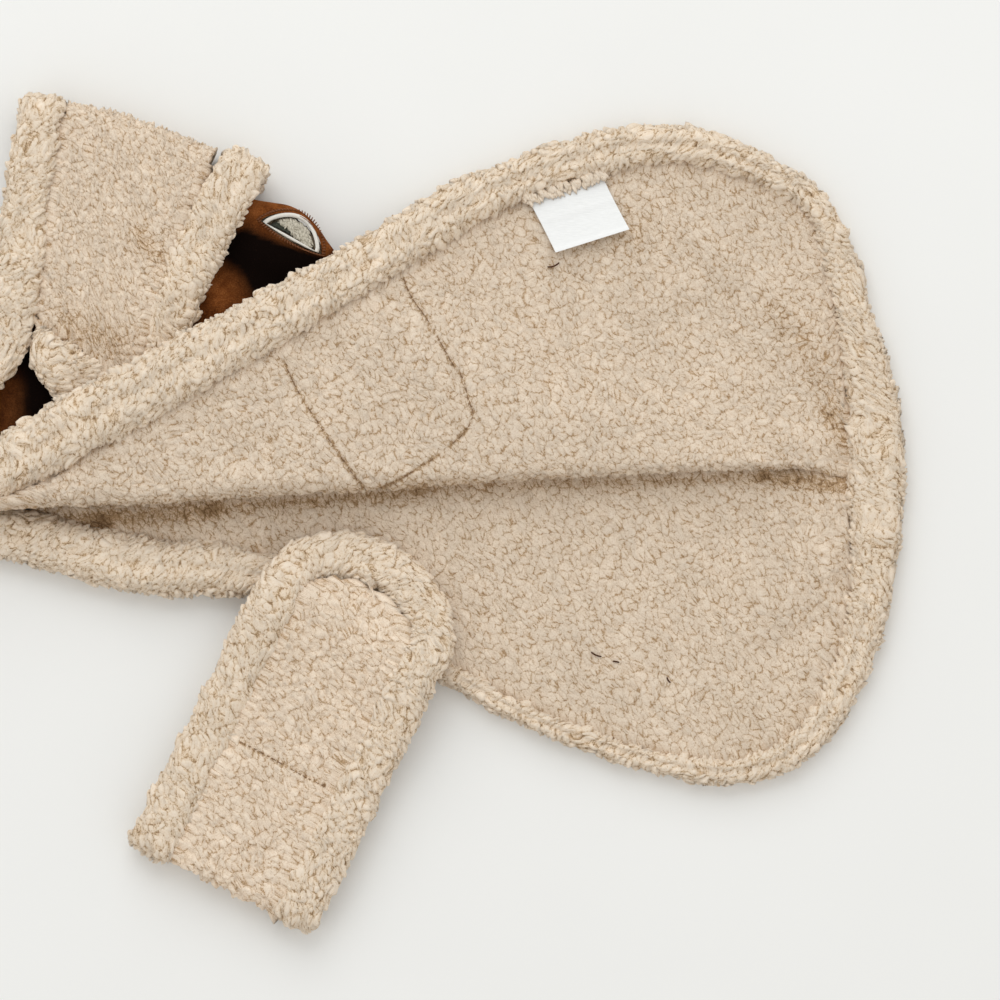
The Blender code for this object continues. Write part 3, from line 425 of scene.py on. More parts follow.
def cells(u, v, seed):
    """For cells about one point in each unit square: how far inside its cell a place is, which is its
    distance from the next point less that from its own, a number from 0 to 1 of the cell's own, and how
    far ahead of its point the place is."""
    spots = np.random.default_rng(seed).uniform(0, 1, (64, 64, 3))
    i, j = np.floor(u).astype(int), np.floor(v).astype(int)
    nearest, second = np.full(u.shape, 9.0), np.full(u.shape, 9.0)
    own, ahead = np.zeros(u.shape), np.zeros(u.shape)
    for di in (-1, 0, 1):
        for dj in (-1, 0, 1):
            found = spots[(i + di) % 64, (j + dj) % 64]
            away = np.hypot(i + di + found[..., 0] - u, j + dj + found[..., 1] - v)
            own = np.where(away < nearest, found[..., 2], own)
            ahead = np.where(away < nearest, u - i - di - found[..., 0], ahead)
            second = np.where(away < nearest, nearest, np.minimum(second, away))
            nearest = np.minimum(nearest, away)
    return second - nearest, own, ahead


def bent(s, t, heading, stretch, waves):
    """Coordinates on the cloth along a heading, drawn out by stretch, and across it, both bent this way
    and that. Each wave has its reach, its size, and its seeds for s and t."""
    u = s + sum(reach * slow(s, t, size, seed) for reach, size, seed, _ in waves)
    v = t + sum(reach * slow(s, t, size, seed) for reach, size, _, seed in waves)
    along = (u * math.cos(heading) + v * math.sin(heading)) / stretch
    return along, -u * math.sin(heading) + v * math.cos(heading)


def pile_looks(pile, tone, along, across, size, spread=1.0):
    """The attributes of pile: how high a place is in it, its shade, and the coordinates of its strands
    and of its curls, which are as wide as size."""
    strand = np.stack([along * 0.5, across * spread, 0 * along], -1)
    flow = np.stack([along, across, 0 * along], -1) / size
    return {"pile": np.clip(pile, 0, 1), "tone": tone, "strand": strand, "flow": flow}


def napped(grid, s, t, heading, size, depth, seed, stretch):
    """A grid of short pile, with its attributes: it sinks a little along its normals between groups of
    curls, and along the lines where a slow noise is nought. s and t are its coordinates on the cloth."""
    waves = ((1.7, 13, seed, seed + 2), (0.8, 3.1, seed + 1, seed + 3))
    along, across = bent(s, t, heading, stretch, waves)
    group, shade, _ = cells(along / (1.9 * size), across / (1.9 * size), seed + 5)
    puff = np.abs(slow(along, across, 0.9 * size, seed + 4))
    fine = slow(along * 1.5, across, 0.9, seed + 6)
    sunk = 0.6 * (1 - smoothstep(1.7 * group)) + 0.5 * (1 - smoothstep(3 * puff)) - 0.45 * fine
    out = normals(grid)
    points = grid - out * (depth * (1 + 2.2 * (1 - np.abs(out[..., 2]))) * sunk)[..., None]
    # Painted shade: the pile is darker in the sunken lines between groups of curls.
    pile = 0.6 + 0.22 * smoothstep(1.7 * group) + 0.1 * fine
    return points, pile_looks(pile, shade, along, across, 0.95 * size)


def tufted(grid, s, t, heading, seed):
    """A grid of long pile, with its attributes. Locks run along the heading: each is a puff between two
    lines where a slow noise is nought, with finer ones on it. They lie in tufts that overlap like
    shingles: a tuft rises from its root to its tip, leans on there, and drops to the root of the next.
    s and t are its coordinates on the cloth."""
    size, depth, stretch = TUFT
    waves = ((3.6, 12, seed, seed + 2), (1.3, 4.1, seed + 1, seed + 3), (0.4, 1.4, seed + 7, seed + 8))
    along, across = bent(s, t, heading, stretch, waves)
    puff = np.abs(slow(along, across, 0.62 * size, seed + 6))
    curl = np.abs(slow(along, across, 0.36 * size, seed + 9))
    inside, own, ahead = cells(along / size, across / size, seed + 4)
    tip = smoothstep(0.5 + ahead)
    tuft = smoothstep(2.2 * inside) * (0.35 + 0.65 * tip)
    lift = 0.2 * smoothstep(2.4 * puff) + 0.12 * smoothstep(2.4 * curl) + 0.8 * tuft
    lift = lift + 0.5 * slow(s, t, 6.5, seed + 11)
    forward = unit(np.gradient(grid, axis=0)) * math.cos(heading)
    forward = forward + unit(np.gradient(grid, axis=1)) * math.sin(heading)
    out = normals(grid)
    deep = depth * (0.6 + 1.2 * (1 - np.abs(out[..., 2])))
    points = grid + out * (deep * (lift - 0.7))[..., None] + forward * (0.6 * deep * lift * tip)[..., None]
    faded = smoothstep(0.5 + 0.9 * slow(s, t, 4, seed + 10))
    # Painted shade: darker in the crevices in front of each tuft's tip, along the sunken lines between its
    # locks, and towards its root.
    painted_shade = (0.25 + 0.5 * faded) * (1 - smoothstep(3.6 * inside))
    painted_shade = painted_shade + 0.6 * (1 - faded) * (1 - smoothstep(5 * puff)) + 0.3 * (1 - smoothstep(4 * curl))
    pile = 1 - painted_shade - 0.25 * (1 - tip)
    return points, pile_looks(pile, own, along, across, 0.7 * size, 1.2)


def across_run(grid):
    """How far along its row each point of a grid lies."""
    steps = np.linalg.norm(np.diff(grid, axis=1), axis=-1)
    return np.concatenate([np.zeros((len(grid), 1)), np.cumsum(steps, axis=1)], axis=1)


def evened(grid, count):
    """Each row of the grid read off at evenly spaced places along it."""
    share = np.linspace(0, 1, count)
    rows = [np.stack([np.interp(share * at[-1], at, axis) for axis in row.T], axis=-1)
            for row, at in zip(grid, across_run(grid))]
    return np.array(rows)


def low_end(grid):
    """Which end of a grid's rows lies lower in the photo: 0 or -1."""
    return 0 if grid[:, 0, 1].mean() < grid[:, -1, 1].mean() else -1


def tucked(grid, ends, round_a_fold):
    """The grid with its named edges, each an axis and 0, -1, low or high, carried on and down under the
    binding that they are sewn into, and not so far where they go round a fold."""
    grid = grid.copy()
    named = {"low": low_end(grid), "high": -1 - low_end(grid)}
    for axis, end in ends:
        end = named.get(end, end)
        rows = np.swapaxes(grid, 0, axis)
        step = 1 if end == 0 else -1
        out = unit((rows[end] - rows[end + 3 * step])[:, :2])
        below = rows[end, :, 2:].max() - rows[end, :, 2:]
        flat = 1 - smoothstep(below / 2.5) if round_a_fold else 1.0
        for k, far, drop in ((end, 5.0, 1.7), (end + step, 2.4, 0.4)):
            rows[k, :, :2] += out * (far * flat)
            rows[k, :, 2] = np.maximum(rows[k, :, 2] - drop, 0.3)
    return grid


def furred(name, shape, finish, looks, level, node=None):
    """A piece of pile whose last points, those after its looks, are plain: its pile and its tone there
    are the same level, and its strands' coordinates are their places."""
    points, size = shape[0], looks["pile"].size
    plain = np.full(len(points) - size, level)
    for key, value in looks.items():
        one = value.size == size
        looks[key] = np.append(value, plain) if one else np.append(value.reshape(-1, 3), points[size:], 0)
    new_piece(name, shape, finish, node, looks)


# ---------------------------------------------------------------- separate curls

LOCK_RINGS = ((0.0, 0.85), (0.36, 1.0), (0.74, 0.74))  # how far along a lock, and how thick
TUFT_RINGS = ((0.0, 0.6), (0.3, 1.0), (0.68, 0.8))


def read_grid(grid, u, v):
    """The grid's values at places between its rows and columns, blended in a straight line."""
    m, n = grid.shape[:2]
    i = np.clip(u.astype(int), 0, m - 2)
    j = np.clip(v.astype(int), 0, n - 2)
    a, b = (u - i)[:, None], (v - j)[:, None]
    near, far = (grid[i, k] * (1 - a) + grid[i + 1, k] * a for k in (j, j + 1))
    return near * (1 - b) + far * b


def scattered(grid, along, across, rng):
    """Places for curls on a grid whose rows are evenly spaced along themselves: strips across the rows,
    each with as many curls as it is long, half a curl on from the last, and each moved a little."""
    m, n = grid.shape[:2]
    row_length = across_run(grid)[:, -1]
    run = across_run(grid[None, :, (n - 1) // 2])[0]
    strips = max(int(round(run[-1] / along)), 2)
    at = np.interp((np.arange(strips) + 0.5) / strips * run[-1], run, np.arange(m))
    counts = np.maximum(np.round(np.interp(at, np.arange(m), row_length) / across).astype(int), 1)
    strip = np.repeat(np.arange(strips), counts)
    order = np.arange(len(strip)) - np.repeat(np.cumsum(counts) - counts, counts)
    shift = np.where(strip % 2, 0.25, 0.75) + rng.uniform(-0.34, 0.34, len(strip))
    v = (order + shift) / counts[strip] * (n - 1)
    u = at[strip] + rng.uniform(-0.32, 0.32, len(strip)) * m / strips
    return np.clip(u, 0, m - 1.001), np.clip(v, 0, n - 1.001)


def locks(base, normal, heading, length, width, rise, hook, rng, flat=0.8, sides=5, profile=LOCK_RINGS):
    """Points, faces and attributes of curls of pile. Each is a lock with a section of so many sides that
    rises from its root, bends over along its heading and hooks to one side towards its tip: its height
    is a sine of how far along it is, and its hook the square of that."""
    count, rings = len(base), len(profile)
    side = unit(np.cross(normal, heading))
    heading = np.cross(side, normal)
    share = np.array([at for at, _ in profile] + [1.0])
    thick = np.array([size for _, size in profile])
    climb_up = np.sin(math.pi * 0.84 * share**0.8)
    spine = (
        base[:, None]
        + heading[:, None] * ((share - 0.4) * length[:, None])[..., None]
        + normal[:, None] * ((climb_up - 0.12) * rise[:, None])[..., None]
        + side[:, None] * (share**2 * (hook * length)[:, None])[..., None]
    )
    run = unit(np.gradient(spine, axis=1))
    across = unit(np.cross(normal[:, None], run))
    above = np.cross(run, across)
    angle = np.arange(sides) * 2 * math.pi / sides + rng.uniform(0, 6, count)[:, None]
    half = (thick[None] * width[:, None] / 2)[..., None]
    uneven = 1 + rng.uniform(-0.16, 0.16, (count, rings, sides))
    cosine, sine = np.cos(angle)[:, None] * half * uneven, np.sin(angle)[:, None] * half * uneven
    body = (
        spine[:, :rings, None]
        + across[:, :rings, None] * cosine[..., None]
        + above[:, :rings, None] * (flat * sine)[..., None]
    )
    per = rings * sides + 1
    points = np.concatenate([body.reshape(count, -1, 3), spine[:, -1:]], axis=1)
    index = grid_index(rings, sides)
    after = np.roll(index, -1, axis=1)
    quads = np.stack([index[:-1], after[:-1], after[1:], index[1:]], -1).reshape(-1, 4)
    tips = np.stack([index[-1], after[-1], np.full(sides, per - 1)], -1)
    first = (np.arange(count) * per)[:, None, None]
    ends = index[0][::-1][None] + first[:, 0]
    faces = [(quads + first).reshape(-1, 4), (tips + first).reshape(-1, 3), ends]
    # Painted shade: each lock is lighter on its top, and darker on its underside and towards its root.
    crown = np.sin(np.broadcast_to(angle[:, None], (count, rings, sides)))
    level = (0.62 + 0.42 * crown) * (0.62 + 0.38 * smoothstep(share[:rings] * 3))[None, :, None]
    level = np.concatenate([level.reshape(count, -1), np.full((count, 1), 0.9)], axis=1)
    own = rng.uniform(0, 1, count)
    body = np.stack([cosine, sine, np.broadcast_to(share[:rings, None], cosine.shape) * 0.9], -1)
    tip = np.broadcast_to([0.0, 0.0, 0.9], (count, 1, 3))
    strand = np.concatenate([body.reshape(count, -1, 3), tip], axis=1) + rng.uniform(0, 90, (count, 1, 3))
    tone = np.broadcast_to(own[:, None], (count, per))
    looks = {"pile": np.clip(level, 0, 1), "tone": tone, "strand": strand, "flow": strand}
    return (points.reshape(-1, 3), faces), looks


def upright_locks(base, way, rng, length, width, rise, **shape):
    """Locks on cloth that lies flat. Each size is the least and the most of a range."""
    count = len(base)
    sizes = [rng.uniform(*size, count) for size in (length, width, rise, (-0.3, 0.3))]
    return locks(base, np.tile((0.0, 0.0, 1.0), (count, 1)), at_height(way, 0.0), *sizes, rng, **shape)


# ---------------------------------------------------------------- colours and cloths


class Level:
    """A number in a material's tree of nodes. Arithmetic with it adds the nodes that work it out."""

    def __init__(self, socket):
        self.socket = socket

    def worked(self, operation, other, swapped=False):
        tree = self.socket.id_data
        node = add_node(tree, "ShaderNodeMath", operation=operation)
        for inlet, value in zip(node.inputs, (other, self) if swapped else (self, other)):
            if isinstance(value, Level):
                tree.links.new(value.socket, inlet)
            else:
                inlet.default_value = value
        return Level(node.outputs[0])

    __add__ = partialmethod(worked, "ADD")
    __radd__ = partialmethod(worked, "ADD", swapped=True)
    __sub__ = partialmethod(worked, "SUBTRACT")
    __rsub__ = partialmethod(worked, "SUBTRACT", swapped=True)
    __mul__ = partialmethod(worked, "MULTIPLY")
    __truediv__ = partialmethod(worked, "DIVIDE")
    __pow__ = partialmethod(worked, "POWER")
    at_most = partialmethod(worked, "MINIMUM")
    at_least = partialmethod(worked, "MAXIMUM")


def add_node(tree, kind, values=(), links=(), **settings):
    """A node with its settings, the values of its inlets, and what is linked to them."""
    node = tree.nodes.new(kind)
    for key, value in settings.items():
        setattr(node, key, value)
    for key, value in dict(values).items():
        node.inputs[key].default_value = value
    for key, source in dict(links).items():
        tree.links.new(source, node.inputs[key])
    return node


def place_of(tree):
    return add_node(tree, "ShaderNodeTexCoord").outputs["Object"]


def noise(tree, scale, detail=3.0, source=None, roughness=0.55):
    values = {"Scale": scale, "Detail": detail, "Roughness": roughness}
    links = {"Vector": source or place_of(tree)}
    return Level(add_node(tree, "ShaderNodeTexNoise", values, links).outputs[0])


def attribute(tree, name, output="Fac"):
    return add_node(tree, "ShaderNodeAttribute", attribute_name=name).outputs[output]


def colour_ramp(tree, stops, level):
    ramp = add_node(tree, "ShaderNodeValToRGB", links={0: level.socket})
    while len(ramp.color_ramp.elements) < len(stops):
        ramp.color_ramp.elements.new(0.5)
    for element, (place, colour) in zip(ramp.color_ramp.elements, stops):
        element.position = place
        element.color = (*colour, 1.0)
    return ramp.outputs[0]


def finish(name, colour, paint, roughness, specular=0.12, sheen=None, bump=None, strength=1.0):
    """A material. paint gives the socket of its colour and its relief, from its tree."""
    made = bpy.data.materials.new(name)
    made.use_nodes = True
    made.diffuse_color = (*colour, 1.0)
    tree = made.node_tree
    inlets = tree.nodes["Principled BSDF"].inputs
    colour, relief = paint(tree)
    tree.links.new(colour, inlets["Base Color"])
    inlets["Roughness"].default_value = roughness
    inlets["Specular IOR Level"].default_value = specular
    if sheen is not None:
        inlets["Sheen Weight"].default_value = sheen
        inlets["Sheen Roughness"].default_value = 0.6
    if bump:
        links = {"Height": relief.socket}
        bumped = add_node(tree, "ShaderNodeBump", {"Distance": bump, "Strength": strength}, links)
        tree.links.new(bumped.outputs[0], inlets["Normal"])
    return made


def pile_finish(name, crevice, middle, tip, streaks=0.5, lines=0.9, width=0.15):
    """Curled pile. Thin crevices are the edges between cells of the attribute flow, made ragged by a
    noise, and wider here and gone there. They are painted shade, strongest on the side of each curl away
    from the light as a painted shadow under its tip. Fine strands and the attribute pile, which is how
    high a place is in the pile and is lowered where painted shade falls, set the colour from that of its
    crevices, a painted shade, to that of its tips."""

    def paint(tree):
        strand = noise(tree, 1.15, 4.0, attribute(tree, "strand", "Vector"), 0.75)
        fluff = noise(tree, 1700, 3.0, roughness=0.75)
        flow = attribute(tree, "flow", "Vector")
        ragged = add_node(tree, "ShaderNodeTexNoise", {"Scale": 2.1, "Detail": 4.0, "Roughness": 0.75},
                          {"Vector": flow})
        moved = add_node(tree, "ShaderNodeVectorMath", {1: (0.65, 0.65, 0.0)},
                         {0: ragged.outputs["Color"], 2: flow}, operation="MULTIPLY_ADD").outputs[0]
        cell = {"kind": "ShaderNodeTexVoronoi", "values": {"Scale": 1.0}, "links": {"Vector": moved},
                "voronoi_dimensions": "2D"}
        edges, curl = (add_node(tree, feature=feature, **cell) for feature in ("DISTANCE_TO_EDGE", "F1"))
        away = Level(edges.outputs["Distance"])
        from_root = add_node(tree, "ShaderNodeVectorMath", links={0: moved, 1: curl.outputs["Position"]},
                             operation="SUBTRACT")
        on = Level(add_node(tree, "ShaderNodeSeparateXYZ", links={0: from_root.outputs[0]}).outputs[0])
        # Painted shadow: the crevice lines are darkest ahead of each curl, on its side away from the light.
        ahead = ((on + 0.12) * 3.0).at_most(1.0).at_least(0.4)
        reach = ((noise(tree, 0.75, 2.0, flow) - 0.34) * (5 * width)).at_least(0.01)
        line = (1.0 - (away / reach).at_most(1.0)) ** 0.8 * ahead
        fine = (strand - 0.5) * streaks + (fluff - 0.5) * 2.2
        level = 0.4 + (Level(attribute(tree, "pile")) + fine - line * lines) * 0.6
        colour = colour_ramp(tree, ((0.0, DEEP_SHADE_BROWN), (0.4, crevice), (0.64, middle), (0.97, tip)), level)
        shade = (0.94 + Level(attribute(tree, "tone")) * 0.08) * (0.93 + noise(tree, 45, 2.0) * 0.14)
        grey = add_node(tree, "ShaderNodeCombineColor", links={key: shade.socket for key in range(3)})
        shaded = add_node(tree, "ShaderNodeMix", {0: 1.0}, {6: colour, 7: grey.outputs[0]},
                          data_type="RGBA", blend_type="MULTIPLY")
        relief = strand + fluff * 0.8 + (away * 3.0).at_most(1.0) * (on * 0.7 + 0.6) * 0.35
        return shaded.outputs[2], relief

    made = finish(name, middle, paint, 1.0, sheen=0.12, bump=0.0008, strength=0.8)
    made.node_tree.nodes["Principled BSDF"].inputs["Sheen Tint"].default_value = (1.0, 0.86, 0.68, 1.0)
    return made


def grained(name, stops, scale, detail, roughness, bump, **others):
    """A material whose colour and relief are a noise."""

    def paint(tree):
        grain = noise(tree, scale, detail)
        return colour_ramp(tree, stops, grain), grain

    return finish(name, others.pop("colour", stops[0][1]), paint, roughness, bump=bump, **others)


def suede(tree):
    """A fine grain, brushed patches, and an attribute that mixes in near black: painted shade on the
    neck and chest cloth, and a slow noise on the back cloth."""
    grain = noise(tree, 1900, 4.0, roughness=0.7)
    level = grain * 0.5 + noise(tree, 130, 3.0) * 0.5
    stops = ((0.37, (0.085, 0.022, 0.006)), (0.5, (0.20, 0.060, 0.014)), (0.63, (0.36, 0.125, 0.036)))
    colour = colour_ramp(tree, stops, level)
    dark = add_node(tree, "ShaderNodeMix", {7: (0.005, 0.0025, 0.0018, 1.0)},
                    {0: attribute(tree, "darkening"), 6: colour}, data_type="RGBA", blend_type="MIX")
    return dark.outputs[2], grain


def satin(tree):
    """Long floats one way over a fine weave."""
    mapping = add_node(tree, "ShaderNodeMapping", {"Rotation": (0, 0, 0.31), "Scale": (400, 5200, 400)},
                       {"Vector": place_of(tree)})
    floats = noise(tree, 1.0, 2.0, mapping.outputs[0])
    return colour_ramp(tree, ((0.2, (0.80, 0.81, 0.81)), (0.8, (0.92, 0.93, 0.93))), floats), floats


def tape(tree):
    """Small crossing ribs."""
    wave = add_node(tree, "ShaderNodeTexWave", {"Scale": 900.0, "Distortion": 2.0, "Detail": 1.0},
                    {"Vector": place_of(tree)})
    ribs = Level(wave.outputs[1])
    return colour_ramp(tree, ((0.0, (0.74, 0.71, 0.64)), (1.0, (0.93, 0.91, 0.86))), ribs), ribs


def backing_finish(name, dark, pale):
    """The short dense fleece between the curls, in the colour of their roots."""
    return grained(name, ((0.3, dark), (0.7, pale)), 1400, 3.0, 0.97, 0.0008, sheen=0.2)


def thread_finish(name, dark, pale):
    return grained(name, ((0.35, dark), (0.75, pale)), 2600, 2.0, 0.7, 0.0002, sheen=0.0)


# The darkest brown of the pile: painted shade for its deepest places.
DEEP_SHADE_BROWN = (0.19, 0.108, 0.05)
FLEECE = pile_finish("sherpa_curls", (0.49, 0.32, 0.175), (0.75, 0.60, 0.455), (0.90, 0.77, 0.63),
                     1.1, 0.75, 0.22)
BINDING = pile_finish("binding_curls", (0.58, 0.40, 0.235), (0.87, 0.71, 0.54), (0.96, 0.83, 0.685),
                      1.3, 0.75)
# Painted shade: a darker, greyer copy of the sherpa for the curls seen down the leash slit.
SHADED_FLEECE = pile_finish("leash_curls", (0.20, 0.18, 0.13), (0.46, 0.42, 0.33), (0.74, 0.69, 0.58))
BACKING = backing_finish("sherpa_backing", (0.52, 0.38, 0.24), (0.66, 0.52, 0.37))
SHADE_BACKING = backing_finish("leash_backing", (0.025, 0.03, 0.02), (0.09, 0.095, 0.07))
SUEDE = finish("brown_suede", (0.15, 0.055, 0.022), suede, 0.95, specular=0.04, sheen=0.0, bump=0.0004)
THREAD = thread_finish("brown_thread", (0.05, 0.02, 0.01), (0.13, 0.055, 0.03))
SEWING = thread_finish("sewing_thread", (0.20, 0.115, 0.06), (0.36, 0.23, 0.135))
OVERLOCK = thread_finish("leash_thread", (0.10, 0.036, 0.016), (0.34, 0.15, 0.075))
SATIN = finish("satin", (0.86, 0.87, 0.86), satin, 0.38, specular=0.4, bump=0.0001)
TAPE = finish("tape", (0.6, 0.58, 0.52), tape, 0.8, sheen=0.1, bump=0.0001)
TABLE = grained("table_top", ((0.3, (0.858, 0.862, 0.852)), (0.7, (0.872, 0.876, 0.866))), 9, 2.0, 0.8,
                None, specular=0.1, colour=(0.86, 0.86, 0.85))


# ---------------------------------------------------------------- the part's forms, at any fineness


def roll_rings(path, groove, count=60, turned=()):
    """Rings of a bound edge along a path with columns x, y, width, height and rest. Its section is a
    circle cut flat below, with a groove along its crown between two ridges. Each end named in turned, 0
    or -1, goes on round a fold and down to the table. The others are rounded off."""
    centre = plan(path)
    side = left_of(centre)
    cut = math.radians(32)
    turn = np.linspace(-cut, math.pi + cut, count)
    across = 0.5 * np.cos(turn)
    up = ((np.sin(turn) + math.sin(cut)) / (1 + math.sin(cut))) ** 0.85
    up = up * (1 - groove * np.exp(-((across / 0.13) ** 2)))
    width = path["width"] + 2 * ROLL_PILE
    height = path["height"] + ROLL_PILE
    flat = centre[:, None] + side[:, None] * (across * width[:, None])[..., None]
    rings = at_height(flat, path["rest"][:, None] + up * height[:, None])
    rounds = {0: [], -1: []}
    for end, beside in ((0, 1), (-1, -2)):
        ahead = unit(centre[end] - centre[beside])
        if end not in turned:
            middle = rings[end].mean(axis=0)
            for angle in np.linspace(0.2, 1.5, 8):
                onward = at_height(ahead * (0.22 * math.sin(angle) * width[end]), 0.0)
                rounds[end].append(middle + (rings[end] - middle) * math.cos(angle) + onward)
            continue
        radius = (path["rest"][end] + path["height"][end]) / 2
        arm = radius + ROLL_PILE - (1 - up) * height[end]
        for angle in np.radians(np.linspace(8, 180, 22)):
            places = flat[end] + ahead * (np.sin(angle) * arm)[:, None]
            rounds[end].append(at_height(places, radius + np.cos(angle) * arm))
    return np.stack([*rounds[0][::-1], *rings, *rounds[-1]])


def ridge(rows, x, y):
    """How far the folds of a table raise or lower the cloth: each is a smooth ridge along its line."""
    total = np.zeros(np.broadcast(x, y).shape)
    for x1, y1, x2, y2, reach, height in np.array(list(rows.values())).T:
        dx, dy = x2 - x1, y2 - y1
        along = np.clip(((x - x1) * dx + (y - y1) * dy) / (dx * dx + dy * dy), 0, 1)
        away = np.hypot(x - x1 - along * dx, y - y1 - along * dy)
        total += height * np.exp(-((away / reach) ** 2))
    return total


def fold_depth(x, y):
    return ridge(FOLDS, x, y) + ridge(FINE_FOLDS, x, y)


def climb(points):
    """From 0 beyond the hidden spine fold to 1 on the folded layers, on the crease's side of it."""
    (x1, y1), (x2, y2) = SPINE
    across = unit(np.array([y2 - y1, x1 - x2]))
    side = (points - (x1, y1)) @ across * (1 if across[1] < 0 else -1)
    return smoothstep((side + STEP_REACH) / (2 * STEP_REACH))


def hem_path(count):
    path = smoothed(HEM, count)
    path["rest"] = np.maximum(path["rest"], 0.0)
    return path


def hem_lines():
    """The hem's path, and the lines of cloth ends just inside it and just outside it."""
    path = hem_path(HEM_STATIONS)
    half = left_of(plan(path)) * (path["width"] / 2 + SEAM)[:, None]
    return path, plan(path) + half, plan(path) - half


HEM_PATH, HEM_INNER, HEM_OUTER = hem_lines()
RUMP = int(np.argmin(np.linalg.norm(HEM_INNER - plan(CREASE)[-1], axis=1)))  # where the crease ends


def hem_stretch(start, stop, count):
    """Evenly spaced points of the hem's inner line between two stations, with the hem's rest there."""
    x, y = HEM_INNER[start:stop].T
    return smoothed({"x": x, "y": y, "rest": HEM_PATH["rest"][start:stop]}, count)


def right_grids(stations, columns):
    """The flat half's lining, from the hem to the hidden edge beyond the crease: its top and underside."""
    low = plan(hem_stretch(int(np.argmax(HEM_INNER[:, 0] > -2.0)), RUMP, stations))
    crease = smoothed(CREASE, stations)
    high = plan(crease) + np.stack([0 * crease["tuck"], crease["tuck"]], axis=-1)
    share = np.linspace(0, 1, columns)[None, :, None]
    grid = low[:, None] * (1 - share) + high[:, None] * share
    top = LINING_TOP + fold_depth(grid[..., 0], grid[..., 1]) * smoothstep(share[..., 0] * 4)
    hidden = smoothstep((share[..., 0] - 0.5) * 3) * (crease["tuck"] > 0)[:, None]
    top = top * (1 - hidden) + LINING_TOP * hidden
    return at_height(grid, top), at_height(grid, LINING_BASE)


class TurnedBack:
    """Sections of the left half's lining, from the hem across to the crease and round its fold. There
    are fineness sections for each one of the part's."""

    def __init__(self, fineness):
        last = int(np.nonzero(HEM_INNER[:, 0] > 6.0)[0][-1])
        seam = hem_stretch(RUMP + 2, last + 1, (LINING_STATIONS - 1) * fineness + 1)
        self.seam = plan(seam)[::-1]
        self.rest = seam["rest"][::-1]
        whole = smoothed(CREASE, LINING_STATIONS * fineness + 1)
        self.crease = {name: value[fineness:] for name, value in whole.items()}
        across = plan(self.crease) - self.seam
        self.reach = np.linalg.norm(across, axis=1)
        self.toward = unit(across)
        self.radius = np.minimum(self.crease["radius"], 0.6 * self.reach)
        self.cloth = np.minimum(PILE, 0.62 * self.radius)

    def point(self, distance):
        """Plan places at distances from the hem, one row of distances for each section."""
        return self.seam[:, None] + self.toward[:, None] * distance[..., None]

    def heights(self, distance):
        """The lining's top and underside there: level with the hem's seam, and rising over the spine
        fold to the crease. Its soft folds are in its top."""
        places = self.point(distance)
        flat_end = (self.reach - self.radius)[:, None]
        level = 0.85 * climb(places) + 0.15 * distance / flat_end
        at_seam = 0.85 * climb(self.seam)[:, None]
        at_crease = 0.85 * climb(self.point(flat_end)[:, 0])[:, None] + 0.15
        share_up = (level - at_seam) / np.maximum(at_crease - at_seam, 0.05)
        low = (self.rest + LINING_TOP)[:, None]
        rise = low + (self.crease["top"][:, None] - low) * share_up
        soft = fold_depth(places[..., 0], places[..., 1])
        near_edges = smoothstep(distance / 10) * smoothstep((self.reach[:, None] - distance) / 16)
        behind = np.clip(flat_end - distance, 0, 15) / 15
        thickness = self.cloth[:, None] + (PILE - self.cloth[:, None]) * behind
        return rise + soft * near_edges, rise - thickness

    def grids(self, columns, arc_columns):
        """The lining's outer and inner surface, from the hem round the crease."""
        centre = (self.reach - self.radius)[:, None]
        flat = np.linspace(0, 1, columns)[None] * centre
        top, under = self.heights(flat)
        angle = np.radians(np.linspace(90, -90, arc_columns + 1)[1:])
        middle = (top[:, -1] - self.radius)[:, None]
        grids = []
        for level, radius in ((top, self.radius), (under, self.radius - self.cloth)):
            distance = np.concatenate([flat, centre + radius[:, None] * np.cos(angle)], axis=1)
            height = np.concatenate([level, middle + radius[:, None] * np.sin(angle)], axis=1)
            grids.append(at_height(self.point(distance), height))
        return grids


def wrapped_grids(columns, stations, cloth, tops, flat, arc, floor=0.0, start=-90):
    """The outer and inner surface of a wall whose sections run from a folded edge to a far edge: an arc
    round the fold, from the angle start and down to floor at the least, up to the top, and then across
    at the given tops, swinging sideways by the column bow."""
    rows = smoothed(columns, stations)
    edge, far = plan(rows), plan(rows, "in_x", "in_y")
    toward = unit(far - edge)
    aside = np.stack([-toward[:, 1], toward[:, 0]], axis=-1)
    reach = np.linalg.norm(far - edge, axis=1)[:, None]
    bow = rows.get("bow", np.zeros(stations))[:, None]
    share = np.linspace(0, 1, flat)[None]
    high = tops(rows, share)
    bend = (high[:, :1] - floor) / 2
    angle = np.radians(np.linspace(start, 90, arc + 2)[:-1])
    across = bend + share * (reach - bend)
    grids = []
    for depth in (0.0, cloth):
        arm = bend - depth
        distance = np.concatenate([bend - arm * np.cos(angle), across], axis=1)
        height = np.concatenate([high[:, :1] - bend + arm * np.sin(angle), high - depth], axis=1)
        swing = bow * np.sin(math.pi * np.clip(distance / reach, 0, 1))
        places = edge[:, None] + toward[:, None] * distance[..., None] + aside[:, None] * swing[..., None]
        grids.append(at_height(places, height))
    return grids


def collar_tops(rows, share):
    return COLLAR_TOP + 0.8 * np.sin(math.pi * share) + 0 * rows["x"][:, None]


def neck_tops(rows, share):
    """The neck cloth's height: high at the fold, sinking into a hollow, and level again at the hem, with
    its soft folds."""
    falling = smoothstep(share / HOLLOW_PLACE)
    rising = smoothstep((share - HOLLOW_PLACE) / (1 - HOLLOW_PLACE))
    fold, hollow, far = (rows[name][:, None] for name in ("fold", "hollow", "far"))
    x, y = (rows[name][:, None] * (1 - share) + rows["in_" + name][:, None] * share for name in "xy")
    near = smoothstep(share * 9) * smoothstep((1 - share) * 5)
    soft = near * (ridge(NECK_FOLDS, x, y) + 0.12 * slow(x, y, 6, 91))
    return fold + (hollow - fold) * falling + (far - hollow) * rising + soft


